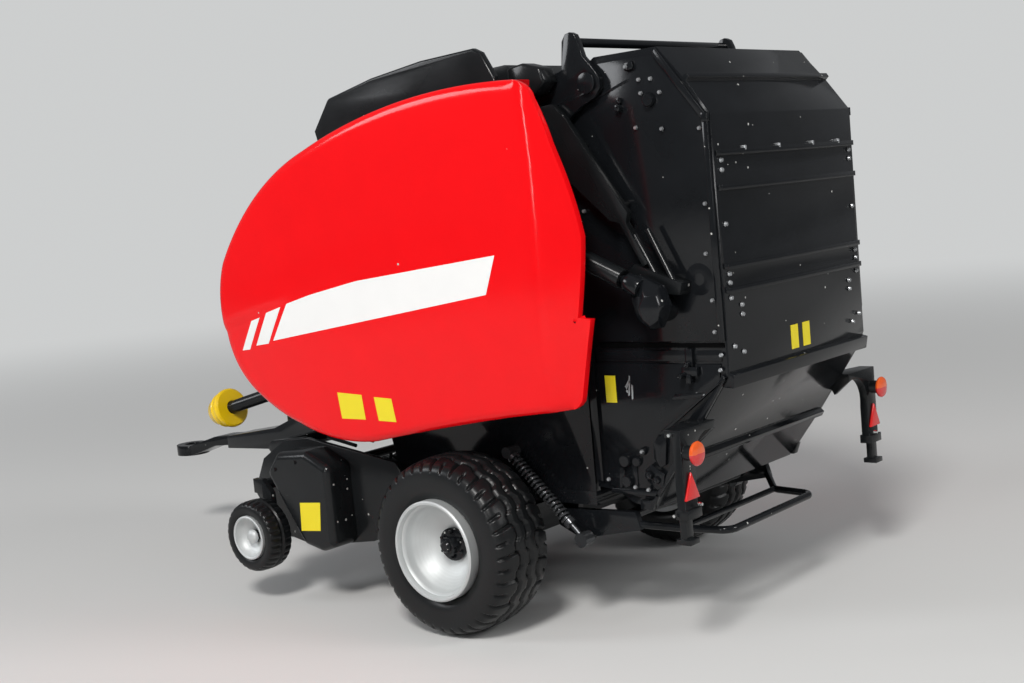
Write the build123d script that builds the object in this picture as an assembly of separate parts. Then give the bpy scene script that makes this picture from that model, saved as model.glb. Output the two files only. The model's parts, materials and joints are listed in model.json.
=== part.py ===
"""Round baler, 1:32 scale model, as an assembly of named pieces.

Millimetres.  +X is the direction of travel, +Y is the model's left side and +Z is up.
Every X below is measured from the main axle; export() moves the finished pieces so that the
origin lies on the ground under the middle of the model's length.
"""
from build123d import *
import math
import os

# ---------------------------------------------------------------- driving dimensions
AXLE_X = -32.6            # main axle, from the middle of the model's length
AXLE_Z = 14.6             # main wheel centre above the ground

FIT = 0.05                # running clearance of a turning hole over its shaft, on the radius
GAP = 0.3                 # air between pieces that move past each other

TYRE_R = AXLE_Z           # main tyre, outer radius
TYRE_W = 12.2
TYRE_Y = 31.2             # middle of the main tyre
RIM_R = 8.25
SPINDLE_R = 2.0

GAUGE_X = 46.9            # gauge wheel centre
GAUGE_Y = 34.3
GAUGE_Z = 12.5
GAUGE_R = 6.5
GAUGE_W = 5.2
GAUGE_RIM_R = 4.05
GAUGE_PIN_R = 0.8

BODY_Y = 21.2             # outer face of the chamber walls and of the tailgate walls
WALL = 1.2                # sheet of the chamber and of the tailgate
SPLIT_X = -20.9           # rear edge of the fixed chamber
SPLIT_GAP = 0.5

HINGE_X = -27.0           # tailgate hinge
HINGE_Z = 85.3
HINGE_R = 1.1
EAR_T = 1.2               # hinge ear
REAR_X = -47.2            # rear face of the tailgate sheet
RIB_H = 0.7               # how far a rib stands off the sheet

RAIL_Z0 = 19.8            # frame rails
RAIL_Z1 = 22.0
RAIL_W = 2.4
RAIL_FRONT = 22.0         # front end of the rails
BEAM_X0 = 39.4            # front cross beam, over the pickup
BEAM_X1 = 43.9
BEAM_Z0 = 31.2
BEAM_Z1 = 36.0

PANEL_Y = 35.5            # outer face of the red side panels
PANEL_T = 1.0
PANEL_DEPTH = 6.0
HOOD_Y = 28.8             # outer face of the hood's side plates
HOOD_T = 1.1              # thickness of a side plate
HOOD_ROUND = 0.45
HOOD_STEP = 2.5           # how far the middle of the hood lies below its side plates

PTO_REAR = (58.0, 37.4)   # driveline axis, from the gearbox forward and down
PTO_FRONT = (100.2, 27.2)
PTO_R = 1.4
YOKE_R = 1.7
GUARD_FROM = 36.9         # along the driveline
GUARD_TO = 42.6
YOKE_FROM = 41.0
DRAWBAR_END = 92.0
DRAWBAR_Y = 4.0
EYE_X = 109.6             # tow eye
EYE_Z = 18.8
EYE_R = 3.6
EYE_BORE_R = 1.7
EYE_T = 2.2

JACK_X = 80.0
JACK_Y = -6.2
JACK_LEG_R = 1.5

LIFT_Y = 27.0             # tailgate cylinders
LIFT_ANCHOR = (0.0, 71.5)
LIFT_PIN = (-37.4, 51.0)
LIFT_DROP = 3.0           # how far the pin lies below the cylinder's axis
LIFT_BARREL_R = 1.5
LIFT_ROD_R = 0.7
LIFT_STUB = 5.5442        # from the barrel's end to the pin, along the axis, at rest
LIFT_EYE_W = 3.2          # width of the rod's end

PICKUP_PIVOT = (16.0, 20.9)
PICKUP_PIN_R = 0.8
PICKUP_Y = 26.6           # inner face of the pickup side plates
REEL_X = 38.0
REEL_Z = 17.0
REEL_R = 6.6              # tine tips
REEL_DRUM_R = 4.0
TINE_PITCH = 4.0
GUARD_PITCH = 4.6         # tines of the wind guard
BAND_W = 1.8              # stripper band
COVER_T = 5.6             # depth of the reel's drive cover
COVER_ROUND = 1.6
TINE_ROWS = 4

RAMP_PIVOT = (-13.5, 17.4)
RAMP_Y = 19.2             # inner face of the ramp's side arms
RAMP_PIN_R = 0.8
BEND_R = 2.2              # bends of the ramp's round bar
BRACKET_X = -43.9         # rear face of the lamp carriers
BRACKET_T = 1.4
LAMP_R = 1.8
LAMP_STEM = 1.6           # length of the stem that carries the lamp

CENTER_ALIGN = (Align.CENTER, Align.CENTER, Align.MIN)


# ---------------------------------------------------------------- shape helpers
def block(x0, x1, y0, y1, z0, z1):
    """Box between three pairs of limits."""
    size = Box(abs(x1 - x0), abs(y1 - y0), abs(z1 - z0))
    return Pos((x0 + x1) / 2, (y0 + y1) / 2, (z0 + z1) / 2) * size


def outline(*points):
    """Closed polygon of (x, z) points, as a face in the XZ plane."""
    return Plane.XZ * make_face(Polyline(*points, close=True))


def prism(face, y0, y1):
    """Face in the XZ plane, given depth from y0 to y1."""
    return extrude(Pos(0, y0, 0) * face, amount=y1 - y0, dir=(0, 1, 0))


def plate(points, y0, y1):
    """Flat plate with an (x, z) polygon, from y0 to y1."""
    return prism(outline(*points), y0, y1)


def rod(start, end, radius):
    """Round bar from one point to another."""
    start, end = Vector(*start), Vector(*end)
    along = end - start
    return Plane(origin=start, z_dir=along) * Cylinder(radius, along.length, align=CENTER_ALIGN)


def cross_bar(x, z, y0, y1, radius):
    """Round bar along Y."""
    return rod((x, y0, z), (x, y1, z), radius)


def ring_profile(points):
    """Solid of revolution about the Y axis, from (y, radius) points."""
    face = Plane.YZ * make_face(Polyline(*points, close=True))
    return revolve(face, Axis.Y, 360)


def left_right(name, shape):
    """A left piece and its mirror image, as two named nodes."""
    return {name + "_left": shape, name + "_right": mirror(shape, Plane.XZ)}


def both_sides(shape):
    return shape + mirror(shape, Plane.XZ)


# ---------------------------------------------------------------- wheels
def tyre(radius, width, bore, crown_drop, wall_drop):
    """Tyre centred on the origin: bead, bulged wall, shoulder and crown as (y, radius)."""
    half = width / 2
    right = [
        (half * 0.86, bore),
        (half, bore + (radius - bore) * 0.32),
        (half, bore + (radius - bore) * 0.60),
        (half * 0.92, radius - wall_drop),
        (half * 0.72, radius - crown_drop),
        (half * 0.30, radius),
    ]
    left = [(-y, r) for y, r in reversed(right)]
    return ring_profile(right + left)


def main_rim():
    """Stepped dish, open on both sides, bored for the spindle."""
    bore = SPINDLE_R + FIT
    return ring_profile([
        (6.8, RIM_R), (6.8, RIM_R - 0.7), (5.9, RIM_R - 1.1), (4.2, RIM_R - 1.5),
        (3.4, RIM_R - 2.3), (1.6, RIM_R - 2.8), (1.1, RIM_R - 3.6), (1.1, bore),
        (-0.6, bore), (-0.6, RIM_R - 1.6), (-5.6, RIM_R - 0.9), (-5.6, RIM_R),
    ])


def gauge_rim():
    bore = GAUGE_PIN_R + FIT
    return ring_profile([
        (2.75, GAUGE_RIM_R), (2.75, GAUGE_RIM_R - 0.5), (1.6, GAUGE_RIM_R - 0.8),
        (0.9, GAUGE_RIM_R - 1.4), (0.9, bore), (-0.5, bore), (-0.5, GAUGE_RIM_R - 1.0),
        (-2.3, GAUGE_RIM_R - 0.5), (-2.3, GAUGE_RIM_R),
    ])


def wheels():
    nodes = {}
    main_place = Pos(0, TYRE_Y, AXLE_Z)
    gauge_place = Pos(GAUGE_X, GAUGE_Y, GAUGE_Z)
    nodes.update(left_right("main_tyre", main_place * tyre(TYRE_R, TYRE_W, RIM_R, 0.25, 0.9)))
    nodes.update(left_right("main_rim", main_place * main_rim()))
    nodes.update(left_right(
        "gauge_tyre", gauge_place * tyre(GAUGE_R, GAUGE_W, GAUGE_RIM_R, 0.15, 0.4)))
    nodes.update(left_right("gauge_rim", gauge_place * gauge_rim()))
    return nodes


# ---------------------------------------------------------------- chassis
def axle():
    """Box beam on two pads, a spindle, a flange behind the wheel and a nut outside it."""
    beam = block(-2.4, 2.4, -24.2, 24.2, AXLE_Z - 2.4, AXLE_Z + 2.4)
    inner = TYRE_Y - 0.6 - FIT
    outer = TYRE_Y + 1.1 + FIT
    side = block(-3.0, 3.0, BODY_Y - RAIL_W, BODY_Y, AXLE_Z + 2.4, RAIL_Z0)
    side += cross_bar(0, AXLE_Z, 24.2, inner, 3.4)
    side += cross_bar(0, AXLE_Z, inner, outer, SPINDLE_R)
    side += cross_bar(0, AXLE_Z, outer, outer + 0.8, 2.7)
    nut = Pos(0, outer + 0.8, AXLE_Z) * Rot(-90, 0, 0) * extrude(RegularPolygon(1.5, 6), 1.4)
    side += nut
    return beam + both_sides(side)


def main_frame():
    """Two rails, their cross members, the front beam, and the pivots of ramp and pickup."""
    rail = block(SPLIT_X, RAIL_FRONT, BODY_Y - RAIL_W, BODY_Y, RAIL_Z0, RAIL_Z1)
    px, pz = RAMP_PIVOT
    hanger = plate([(px - 1.9, RAIL_Z0), (px + 1.9, RAIL_Z0), (px + 1.3, pz - 1.3),
                    (px - 1.3, pz - 1.3)], RAMP_Y - GAP - 1.2, RAMP_Y - GAP)
    hanger -= cross_bar(px, pz, RAMP_Y - 3, RAMP_Y, RAMP_PIN_R + FIT)
    pickup_x, pickup_z = PICKUP_PIVOT
    pin = cross_bar(pickup_x, pickup_z, BODY_Y - 0.1, BODY_Y + 3.3, PICKUP_PIN_R)
    frame = both_sides(rail + hanger + pin)
    for x0, x1 in ((SPLIT_X, SPLIT_X + 2.2), (-3.0, 3.0), (RAIL_FRONT - 2.2, RAIL_FRONT)):
        frame += block(x0, x1, -BODY_Y + RAIL_W, BODY_Y - RAIL_W, RAIL_Z0, RAIL_Z1)
    inside = BODY_Y - WALL
    frame += block(BEAM_X0, BEAM_X1, -inside, inside, BEAM_Z0, BEAM_Z1)
    return frame


def drawbar():
    """Tapered beam that slopes down from the front beam to the tow eye."""
    side = plate([
        (BEAM_X1, BEAM_Z0), (BEAM_X1, BEAM_Z1), (52.0, 34.6), (76.0, 25.4), (DRAWBAR_END, 23.1),
        (DRAWBAR_END, 20.4), (74.0, 21.0), (52.0, 29.9),
    ], -12.0, 12.0)
    plan = Polyline((BEAM_X1, 11.0), (68.0, DRAWBAR_Y), (DRAWBAR_END, DRAWBAR_Y),
                    (DRAWBAR_END, -DRAWBAR_Y), (68.0, -DRAWBAR_Y), (BEAM_X1, -11.0), close=True)
    beam = side & extrude(make_face(plan), amount=60)
    return beam


def tow_eye():
    """Sloped neck and a flat ring with a vertical bore."""
    bend = DRAWBAR_END + 0.4 * (EYE_X - 2.4 - DRAWBAR_END)
    neck = plate([
        (DRAWBAR_END, 20.9), (DRAWBAR_END, 22.9), (bend, 22.4),
        (EYE_X - 2.4, EYE_Z + EYE_T / 2), (EYE_X - 2.4, EYE_Z - EYE_T / 2), (bend, 20.4),
    ], -2.6, 2.6)
    ring = Pos(EYE_X, 0, EYE_Z) * Cylinder(EYE_R, EYE_T)
    bore = Pos(EYE_X, 0, EYE_Z) * Cylinder(EYE_BORE_R, 3 * EYE_T)
    return neck + ring - bore


def jack():
    """Sleeve with a crank on the drawbar's right side, and the leg that slides in it."""
    bore = JACK_LEG_R + FIT
    sleeve = Pos(JACK_X, JACK_Y, 13.5) * Cylinder(2.2, 19.5, align=CENTER_ALIGN)
    sleeve += block(JACK_X - 1.8, JACK_X + 1.8, JACK_Y, -DRAWBAR_Y, 21.2, 24.4)
    sleeve -= Pos(JACK_X, JACK_Y, 13.4) * Cylinder(bore, 18.8, align=CENTER_ALIGN)
    sleeve += rod((JACK_X, JACK_Y, 33.0), (JACK_X, JACK_Y, 34.2), 0.5)
    sleeve += rod((JACK_X, JACK_Y, 34.2), (JACK_X, JACK_Y - 4.0, 34.2), 0.5)
    leg = Pos(JACK_X, JACK_Y, 1.0) * Cylinder(JACK_LEG_R, 20.5, align=CENTER_ALIGN)
    leg += block(JACK_X - 3.8, JACK_X + 3.8, JACK_Y - 3.8, JACK_Y + 3.8, 0, 1.0)
    return {"jack_sleeve": sleeve, "jack_leg": leg}


def driveline():
    """Gearbox on the front beam, the shaft and its yellow guard."""
    rear = Vector(PTO_REAR[0], 0, PTO_REAR[1])
    axis = (Vector(PTO_FRONT[0], 0, PTO_FRONT[1]) - rear)
    unit = axis.normalized()

    def at(distance):
        return tuple(rear + unit * distance)
    gearbox = plate([(BEAM_X0 + 5.4, BEAM_Z1 + 0.1), (BEAM_X0 + 5.4, 43.4), (56.0, 43.4),
                     (57.6, 41.6), (57.2, 34.2), (52.0, 34.8)], -5.0, 5.0)
    gearbox += rod(at(-2.0), at(2.0), 2.8)
    gearbox -= rod(at(2.0), at(6.0), 3.0)
    shaft = rod(at(2.0), at(YOKE_FROM), PTO_R)
    shaft += rod(at(YOKE_FROM), at(axis.length), YOKE_R)
    guard_plane = Plane(origin=at(GUARD_FROM), z_dir=unit)
    guard = guard_plane * Cone(4.3, 2.6, GUARD_TO - GUARD_FROM, align=CENTER_ALIGN)
    guard -= rod(at(GUARD_FROM - 1), at(YOKE_FROM), PTO_R)
    guard -= rod(at(YOKE_FROM), at(GUARD_TO + 1), YOKE_R)
    return {"gearbox": gearbox, "driveline_shaft": shaft, "driveline_guard": guard}


# ---------------------------------------------------------------- bale chamber, fixed part
CHAMBER = [
    (SPLIT_X, RAIL_Z1), (RAIL_FRONT, RAIL_Z1), (24.0, 30.0), (BEAM_X1, 30.0), (44.6, 48.0),
    (43.0, 60.0), (37.0, 71.0), (28.0, 78.5), (18.0, 83.0), (-9.0, 85.2), (SPLIT_X, 82.6),
]
EAR = [
    (SPLIT_X, 79.0), (-14.4, 80.4), (-14.4, 86.0), (-19.5, 86.8), (-22.3, 87.8), (-22.8, 92.0),
    (-23.5, 93.0), (-24.4, 93.2), (-25.2, 92.8), (-25.7, 91.7), (-26.4, 89.4), (-28.4, 87.1),
    (-29.2, 85.8), (-29.2, 84.4), (-28.0, 83.0), (-25.5, 82.0),
]
POSTS = [(-12.0, 81.6), (30.0, 66.0), (36.0, 48.0), (-12.0, 44.0)]      # (x, z)


def chamber_wall():
    """Left side wall with the hinge ear, and the posts that carry the side panel."""
    wall = plate(CHAMBER, BODY_Y - WALL, BODY_Y)
    ear = plate(EAR, BODY_Y + GAP, BODY_Y + GAP + EAR_T)
    seat = plate([(-19.9, 79.4), (-14.6, 80.5), (-14.6, 83.6), (-19.9, 82.6)], BODY_Y, BODY_Y + GAP)
    ear -= cross_bar(HINGE_X, HINGE_Z, BODY_Y, BODY_Y + 3, HINGE_R + FIT)
    wall += seat + ear
    for x, z in POSTS:
        wall += cross_bar(x, z, BODY_Y, PANEL_Y - PANEL_T, 1.2)
    anchor_x, anchor_z = LIFT_ANCHOR
    shoulder = LIFT_Y - LIFT_BARREL_R - FIT
    wall += cross_bar(anchor_x, anchor_z, BODY_Y, shoulder, 1.6)
    wall += cross_bar(anchor_x, anchor_z, shoulder, LIFT_Y + 1.4, 0.7)
    return wall


def chamber_front():
    """Bent sheet between the side walls, open below and to the rear."""
    shell = outline(*CHAMBER)
    sheet = prism(shell, -BODY_Y + WALL, BODY_Y - WALL)
    inner = prism(offset(shell, amount=-WALL, kind=Kind.INTERSECTION), -BODY_Y, BODY_Y)
    sheet -= inner
    sheet -= block(SPLIT_X - 5, 22.6, -BODY_Y, BODY_Y, 0, 30.2)
    sheet -= block(BEAM_X0 - 0.2, BEAM_X1 + 1, -BODY_Y, BODY_Y, 0, BEAM_Z1)
    sheet -= block(SPLIT_X - 5, SPLIT_X + WALL + 1, -BODY_Y, BODY_Y, 0, 81.0)
    return sheet


def chamber_rollers():
    """Rollers at the throat and the rear of the fixed chamber."""
    rollers = None
    for x, z, radius in ((14.0, 27.0, 2.4), (-16.5, 27.0, 2.4), (34.0, 60.0, 2.0)):
        bar = cross_bar(x, z, -BODY_Y + WALL, BODY_Y - WALL, radius)
        rollers = bar if rollers is None else rollers + bar
    return rollers


HOOD_TOP = [(27.1, 83.4), (22.9, 88.6), (12.7, 90.7), (1.3, 92.1), (-10.0, 92.6)]
HOOD_FOOT = [(-13.9, 85.4), (-9.0, 85.2), (18.0, 83.0), (26.0, 79.4)]
HOOD_STAYS = [(-8.0, 87.0), (6.0, 86.6), (19.0, 84.8)]


def hood():
    """Black cover over the front of the chamber, between the side plates and hollow below."""
    top = [(x, z - HOOD_STEP) for x, z in HOOD_TOP[1:]]
    side = outline(HOOD_TOP[0], *top, (-12.4, 88.6), *HOOD_FOOT)
    cover = prism(side, -BODY_Y, BODY_Y)
    inner = prism(offset(side, amount=-WALL, kind=Kind.INTERSECTION), -BODY_Y + WALL, BODY_Y - WALL)
    return cover - inner - Pos(0, 0, -2 * WALL) * inner


def hood_side():
    """Upright plate above the side panel, on stays from the hood."""
    side = outline(*HOOD_TOP, (-11.6, 91.8), (-13.9, 87.9), *HOOD_FOOT)
    cover = prism(side, HOOD_Y - HOOD_T, HOOD_Y)
    tops = [e for e in cover.edges() if e.center().Z > 88 and abs(e.center().Y - HOOD_Y) < 0.01]
    cover = fillet(tops, HOOD_ROUND)
    for x, z in HOOD_STAYS:
        cover += cross_bar(x, z, BODY_Y, HOOD_Y - HOOD_T, 0.6)
    return cover


def side_panel_face(inset):
    """Outline of a side panel, drawn in by inset; lines and arcs from the top rear corner."""
    top = ThreePointArc((-21.0, 86.6), (8.0, 84.6), (34.0, 76.4))
    brow = ThreePointArc((34.0, 76.4), (46.4, 65.0), (51.6, 50.0))
    nose = ThreePointArc((51.6, 50.0), (50.4, 43.6), (45.6, 38.6))
    chin = ThreePointArc((45.6, 38.6), (30.0, 32.6), (13.7, 31.0))
    belly = ThreePointArc((13.7, 31.0), (-6.0, 34.0), (-26.6, 38.2))
    heel = Polyline((-26.6, 38.2), (-29.9, 50.8), (-27.6, 50.8))
    back = ThreePointArc((-27.6, 50.8), (-28.4, 68.0), (-21.0, 86.6))
    face = make_face(top + brow + nose + chin + belly + heel + back)
    if inset:
        face = offset(face, amount=-inset, kind=Kind.INTERSECTION)
    return Plane.XZ * face


def side_panel():
    """Thin bulged cover: rounded outer edge, and a rear strip that turns inwards."""
    def block_of(inset, y_outer, radius):
        solid = prism(side_panel_face(inset), PANEL_Y - PANEL_DEPTH - (1 if inset else 0), y_outer)
        cut = Pos(-24.0 + inset, y_outer, 60) * Rot(0, 0, 33) * Pos(-20, 10, 0) * Box(40, 20, 80)
        solid -= cut
        edges = [e for e in solid.edges()
                 if abs(e.center().Y - y_outer) < 0.01 and e.center().X > -22.0]
        return fillet(edges, radius)
    return block_of(0, PANEL_Y, 2.6) - block_of(PANEL_T, PANEL_Y - PANEL_T, 1.6)


def top_bar():
    """Round bar between the two hinge ears."""
    return cross_bar(-24.2, 91.7, -BODY_Y - GAP, BODY_Y + GAP, 0.7)


def valve_box():
    """Small box with a rounded back, bolted outside the hinge ear."""
    return plate([(-14.5, 84.4), (-14.5, 89.0), (-17.5, 89.4), (-20.8, 88.4), (-21.6, 86.2),
                  (-19.4, 84.4)], BODY_Y + GAP + EAR_T, BODY_Y + GAP + EAR_T + 3.6)


# ---------------------------------------------------------------- tailgate
TAILGATE = [
    (SPLIT_X - SPLIT_GAP, 22.9), (-25.0, 22.6), (-28.0, 20.8), (-31.6, 20.0), (-38.1, 28.4),
    (-46.6, 40.3), (REAR_X, 41.8), (REAR_X, 78.7), (-43.1, 84.2), (-38.8, 89.2), (-27.4, 89.1),
    (-24.6, 87.4), (SPLIT_X - SPLIT_GAP, 81.4),
]
RIBS = [73.1, 68.1, 56.7, 53.2]


def tailgate_shell():
    """Hollow rear half of the bale chamber: side walls, rear sheet, ribs and hinge pins."""
    shape = outline(*TAILGATE)
    shell = prism(shape, -BODY_Y, BODY_Y)
    inner = offset(shape, amount=-WALL, kind=Kind.INTERSECTION)
    shell -= prism(inner, -BODY_Y + WALL, BODY_Y - WALL)
    front = block(SPLIT_X - WALL - 2, SPLIT_X, -BODY_Y + WALL, BODY_Y - WALL, 0, 86.6)
    mouth = block(-31.0, SPLIT_X, -BODY_Y + WALL, BODY_Y - WALL, 0, 26.0)
    shell -= front + mouth
    for z in RIBS:
        shell += block(REAR_X - RIB_H, REAR_X + 0.1, -BODY_Y + 0.6, BODY_Y - 0.6, z - 0.4, z + 0.4)
    lip = plate([(-46.4, 41.4), (-47.9, 41.0), (-47.5, 39.0), (-45.4, 39.2)], -BODY_Y, BODY_Y)
    low_rib = plate([(-37.4, 28.2), (-38.4, 27.2), (-38.9, 28.0), (-38.0, 28.9)], -BODY_Y, BODY_Y)
    slope_rib = plate([(-43.0, 83.4), (-44.0, 84.3), (-43.6, 84.9), (-42.4, 84.2)], -BODY_Y, BODY_Y)
    shell += lip + low_rib + slope_rib
    pins = cross_bar(HINGE_X, HINGE_Z, BODY_Y - 0.2, BODY_Y + GAP + EAR_T + 0.2, HINGE_R)
    pins += cross_bar(HINGE_X, HINGE_Z, BODY_Y + GAP + EAR_T + 0.1, BODY_Y + GAP + EAR_T + 0.6, 1.6)
    boss_x, boss_z = LIFT_PIN
    pins += cross_bar(boss_x, boss_z, BODY_Y - 0.2, LIFT_Y - LIFT_EYE_W / 2 - GAP, 1.9)
    return shell + both_sides(pins)


def tension_arm():
    """Belt tensioner beside the tailgate wall: pivot arm, two rods and the lower yoke."""
    arm = plate([(-18.0, 82.6), (-21.0, 82.8), (-23.4, 80.4), (-33.4, 65.6), (-33.0, 63.8),
                 (-30.2, 64.6), (-22.4, 71.6), (-17.4, 80.0)], 23.1, 24.3)
    arm += cross_bar(-24.2, 76.0, BODY_Y, 23.1, 1.2)
    arm += cross_bar(-31.2, 66.6, BODY_Y, 23.1, 1.0)
    arm += plate([(-32.6, 64.9), (-36.4, 58.0), (-35.5, 57.5), (-31.8, 64.3)], 23.1, 24.3)
    for shift in (0.0, 2.4):
        arm += rod((-34.0 - shift, 23.6, 62.2 + shift * 0.3), (-38.2 - shift, 23.6, 54.6), 0.45)
    arm += plate([(-32.4, 56.6), (-34.0, 57.9), (-42.0, 54.9), (-41.6, 53.2), (-35.6, 53.6)],
                 BODY_Y, 24.3)
    return arm


def light_bracket():
    """Arm from the tailgate wall, curved web, upright with a lamp stem, and a peg with a foot."""
    front = BRACKET_X + BRACKET_T
    plan = Polyline((-39.6, BODY_Y), (BRACKET_X, BODY_Y), (BRACKET_X, 30.6), (-41.2, 30.6),
                    (-39.6, 24.0), close=True)
    arm = Pos(0, 0, 33.3) * extrude(make_face(plan), amount=1.1)
    arm += plate([(-39.6, 33.3), (-41.0, 30.8), (BRACKET_X, 33.3)], BODY_Y, BODY_Y + 1.0)
    inner = Line((21.6, 33.3), (24.0, 33.3)) + ThreePointArc((24.0, 33.3), (26.7, 31.4), (27.3, 28.0))
    rim = Polyline((27.3, 28.0), (27.3, 22.0), (30.6, 22.0), (30.6, 34.4), (21.6, 34.4), (21.6, 33.3))
    web = Pos(BRACKET_X, 0, 0) * (Plane.YZ * make_face(inner + rim))
    arm += extrude(web, amount=BRACKET_T, dir=(1, 0, 0))
    arm += block(BRACKET_X - 0.5, front + 0.3, 27.1, 30.8, 21.4, 22.8)
    arm += block(BRACKET_X + 0.3, front, 28.6, 30.4, 18.4, 22.0)
    arm += block(BRACKET_X - 0.5, front + 0.5, 28.3, 30.7, 17.7, 18.5)
    stem = Plane(origin=(BRACKET_X, 29.3, 31.0), z_dir=(-1, 0, 0))
    return arm + stem * Cylinder(1.1, LAMP_STEM, align=CENTER_ALIGN)


def lamps():
    """Round lamp on its stem, and the triangle on the upright below it."""
    place = Plane(origin=(BRACKET_X - LAMP_STEM, 29.3, 31.0), z_dir=(-1, 0, 0))
    lamp = place * Cylinder(LAMP_R, 0.7, align=CENTER_ALIGN)
    triangle = Polyline((27.2, 24.2), (30.9, 24.2), (29.05, 28.2), close=True)
    face = Pos(BRACKET_X, 0, 0) * (Plane.YZ * make_face(triangle))
    reflector = extrude(face, amount=0.5, dir=(-1, 0, 0))
    nodes = left_right("tail_lamp", lamp)
    nodes.update(left_right("reflector", reflector))
    return nodes


# ---------------------------------------------------------------- tailgate cylinders
def lift_axis():
    """Unit vector (x, z) of the cylinder's axis, and the distance from anchor to rod end."""
    dx, dz = LIFT_PIN[0] - LIFT_ANCHOR[0], LIFT_PIN[1] - LIFT_ANCHOR[1]
    reach = math.hypot(dx, dz)
    angle = math.atan2(dz, dx) - math.asin(LIFT_DROP / reach)
    return (math.cos(angle), math.sin(angle)), math.sqrt(reach ** 2 - LIFT_DROP ** 2)


def lift_cylinder():
    """Barrel pinned to the chamber wall, and rod whose cranked end sits beside the tailgate boss."""
    ax, az = LIFT_ANCHOR
    (ux, uz), length = lift_axis()

    def at(distance, drop=0.0):
        return (ax + ux * distance - uz * drop, az + uz * distance + ux * drop)

    def on_axis(distance):
        x, z = at(distance)
        return (x, LIFT_Y, z)
    mouth = length - LIFT_STUB
    barrel = rod(on_axis(2.2), on_axis(mouth), LIFT_BARREL_R)
    barrel += cross_bar(ax, az, LIFT_Y - 1.3, LIFT_Y + 1.3, 2.4)
    barrel -= cross_bar(ax, az, LIFT_Y - 3, LIFT_Y + 3, 0.7 + FIT)
    barrel -= rod(on_axis(4.0), on_axis(mouth + 1), LIFT_ROD_R + FIT)
    stroke = rod(on_axis(6.0), on_axis(length - 2.0), LIFT_ROD_R)
    stroke += rod(on_axis(mouth + 0.6), on_axis(length - 2.0), LIFT_BARREL_R)
    # outline of the end: (from the pin along the axis, below the axis)
    end = [(-3.4, -1.6), (0.8, -1.5), (2.9, 0.6), (2.9, 4.2), (1.4, 5.2), (-1.5, 4.8), (-3.6, 2.0)]
    half = LIFT_EYE_W / 2
    stroke += plate([at(length + along, drop) for along, drop in end], LIFT_Y - half, LIFT_Y + half)
    nodes = left_right("lift_barrel", barrel)
    nodes.update(left_right("lift_rod", stroke))
    return nodes


# ---------------------------------------------------------------- bale ramp
def ramp():
    """Two side arms on the pivot, cross bars, and the round U-shaped bar behind them."""
    px, pz = RAMP_PIVOT
    arm = plate([(px + 1.8, pz + 1.2), (px - 14.0, 19.0), (px - 14.8, 16.2), (px - 3.0, 13.9),
                 (px + 1.2, pz - 1.6)], RAMP_Y, RAMP_Y + 1.2)
    arm += cross_bar(px, pz, RAMP_Y - GAP - 1.4, RAMP_Y, RAMP_PIN_R)
    arm += cross_bar(-19.0, 14.8, RAMP_Y + 1.2, 21.6, 0.7)
    corner_x, corner_y, bar_z = -40.0, 13.0, 15.4
    path = FilletPolyline((px - 14.0, RAMP_Y + 0.6, 17.0), (-32.0, 14.4, bar_z),
                          (corner_x, corner_y, bar_z), (corner_x, 0, bar_z), radius=BEND_R)
    arm += sweep(Plane(origin=path @ 0, z_dir=path % 0) * Circle(0.6), path)
    arm += cross_bar(-22.4, 16.9, 0, RAMP_Y, 0.9)
    arm += cross_bar(-32.0, bar_z, 0, 14.4, 0.5)
    return both_sides(arm)


def ramp_spring():
    """Coil on its rod beside the frame, from the frame lug down to the ramp arm."""
    top, bottom = (-5.1, 22.9, 28.0), (-19.0, 22.9, 14.6)
    span = Vector(*bottom) - Vector(*top)
    unit = span.normalized()

    def at(distance):
        return tuple(Vector(*top) + unit * distance)
    spring = rod(top, at(span.length - 1.0), 0.4)
    for step in range(9):
        spring += rod(at(1.6 + step * 1.3), at(2.3 + step * 1.3), 0.8)
    spring += cross_bar(top[0], top[2], BODY_Y, 23.6, 0.9)
    spring += cross_bar(bottom[0], bottom[2], 21.9, 23.5, 1.1)
    return spring


# ---------------------------------------------------------------- pickup
def pickup_frame():
    """Side plates on the pivot tube, the cross tubes and the curved stripper bands."""
    px, pz = PICKUP_PIVOT
    plate_outline = [
        (px - 0.8, pz - 2.2), (24.0, 11.6), (40.0, 9.4), (50.0, 11.4), (55.0, 18.6), (51.6, 25.0),
        (45.5, 28.6), (39.0, 29.4), (px + 1.0, 26.0), (px - 1.4, 22.8),
    ]
    side = plate(plate_outline, PICKUP_Y, PICKUP_Y + 1.0)
    side += cross_bar(px, pz, BODY_Y + FIT, PICKUP_Y, 1.8)
    side -= cross_bar(px, pz, BODY_Y, BODY_Y + 3.4, PICKUP_PIN_R + FIT)
    side += cross_bar(50.6, 20.4, 0, PICKUP_Y, 0.9)
    side += cross_bar(27.6, 14.6, 0, PICKUP_Y, 0.9)
    frame = both_sides(side)
    band_outer = 5.4
    half = BAND_W / 2
    count = int((PICKUP_Y - half) / TINE_PITCH)
    for index in range(-count, count + 1):
        y = index * TINE_PITCH
        hoop = cross_bar(REEL_X, REEL_Z, y - half, y + half, band_outer)
        hoop += block(27.6, REEL_X, y - half, y + half, REEL_Z - 4.0, REEL_Z - 1.0)
        hoop -= cross_bar(REEL_X, REEL_Z, y - 2, y + 2, band_outer - 0.7)
        frame += hoop
    return frame


def pickup_cover():
    """Bulged cover over the reel drive, outside the side plate."""
    corners = Polyline((28.2, 11.4), (28.2, 25.6), (34.0, 28.2), (41.6, 27.6), (44.8, 23.8),
                       (36.4, 11.2), (32.0, 10.2), close=True)
    face = make_face(corners)
    face = fillet(face.vertices(), COVER_ROUND)
    inner = PICKUP_Y + 1.0
    cover = prism(Plane.XZ * face, inner, inner + COVER_T)
    edges = [e for e in cover.edges() if abs(e.center().Y - inner - COVER_T) < 0.01]
    return fillet(edges, COVER_ROUND - 0.2)


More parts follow.
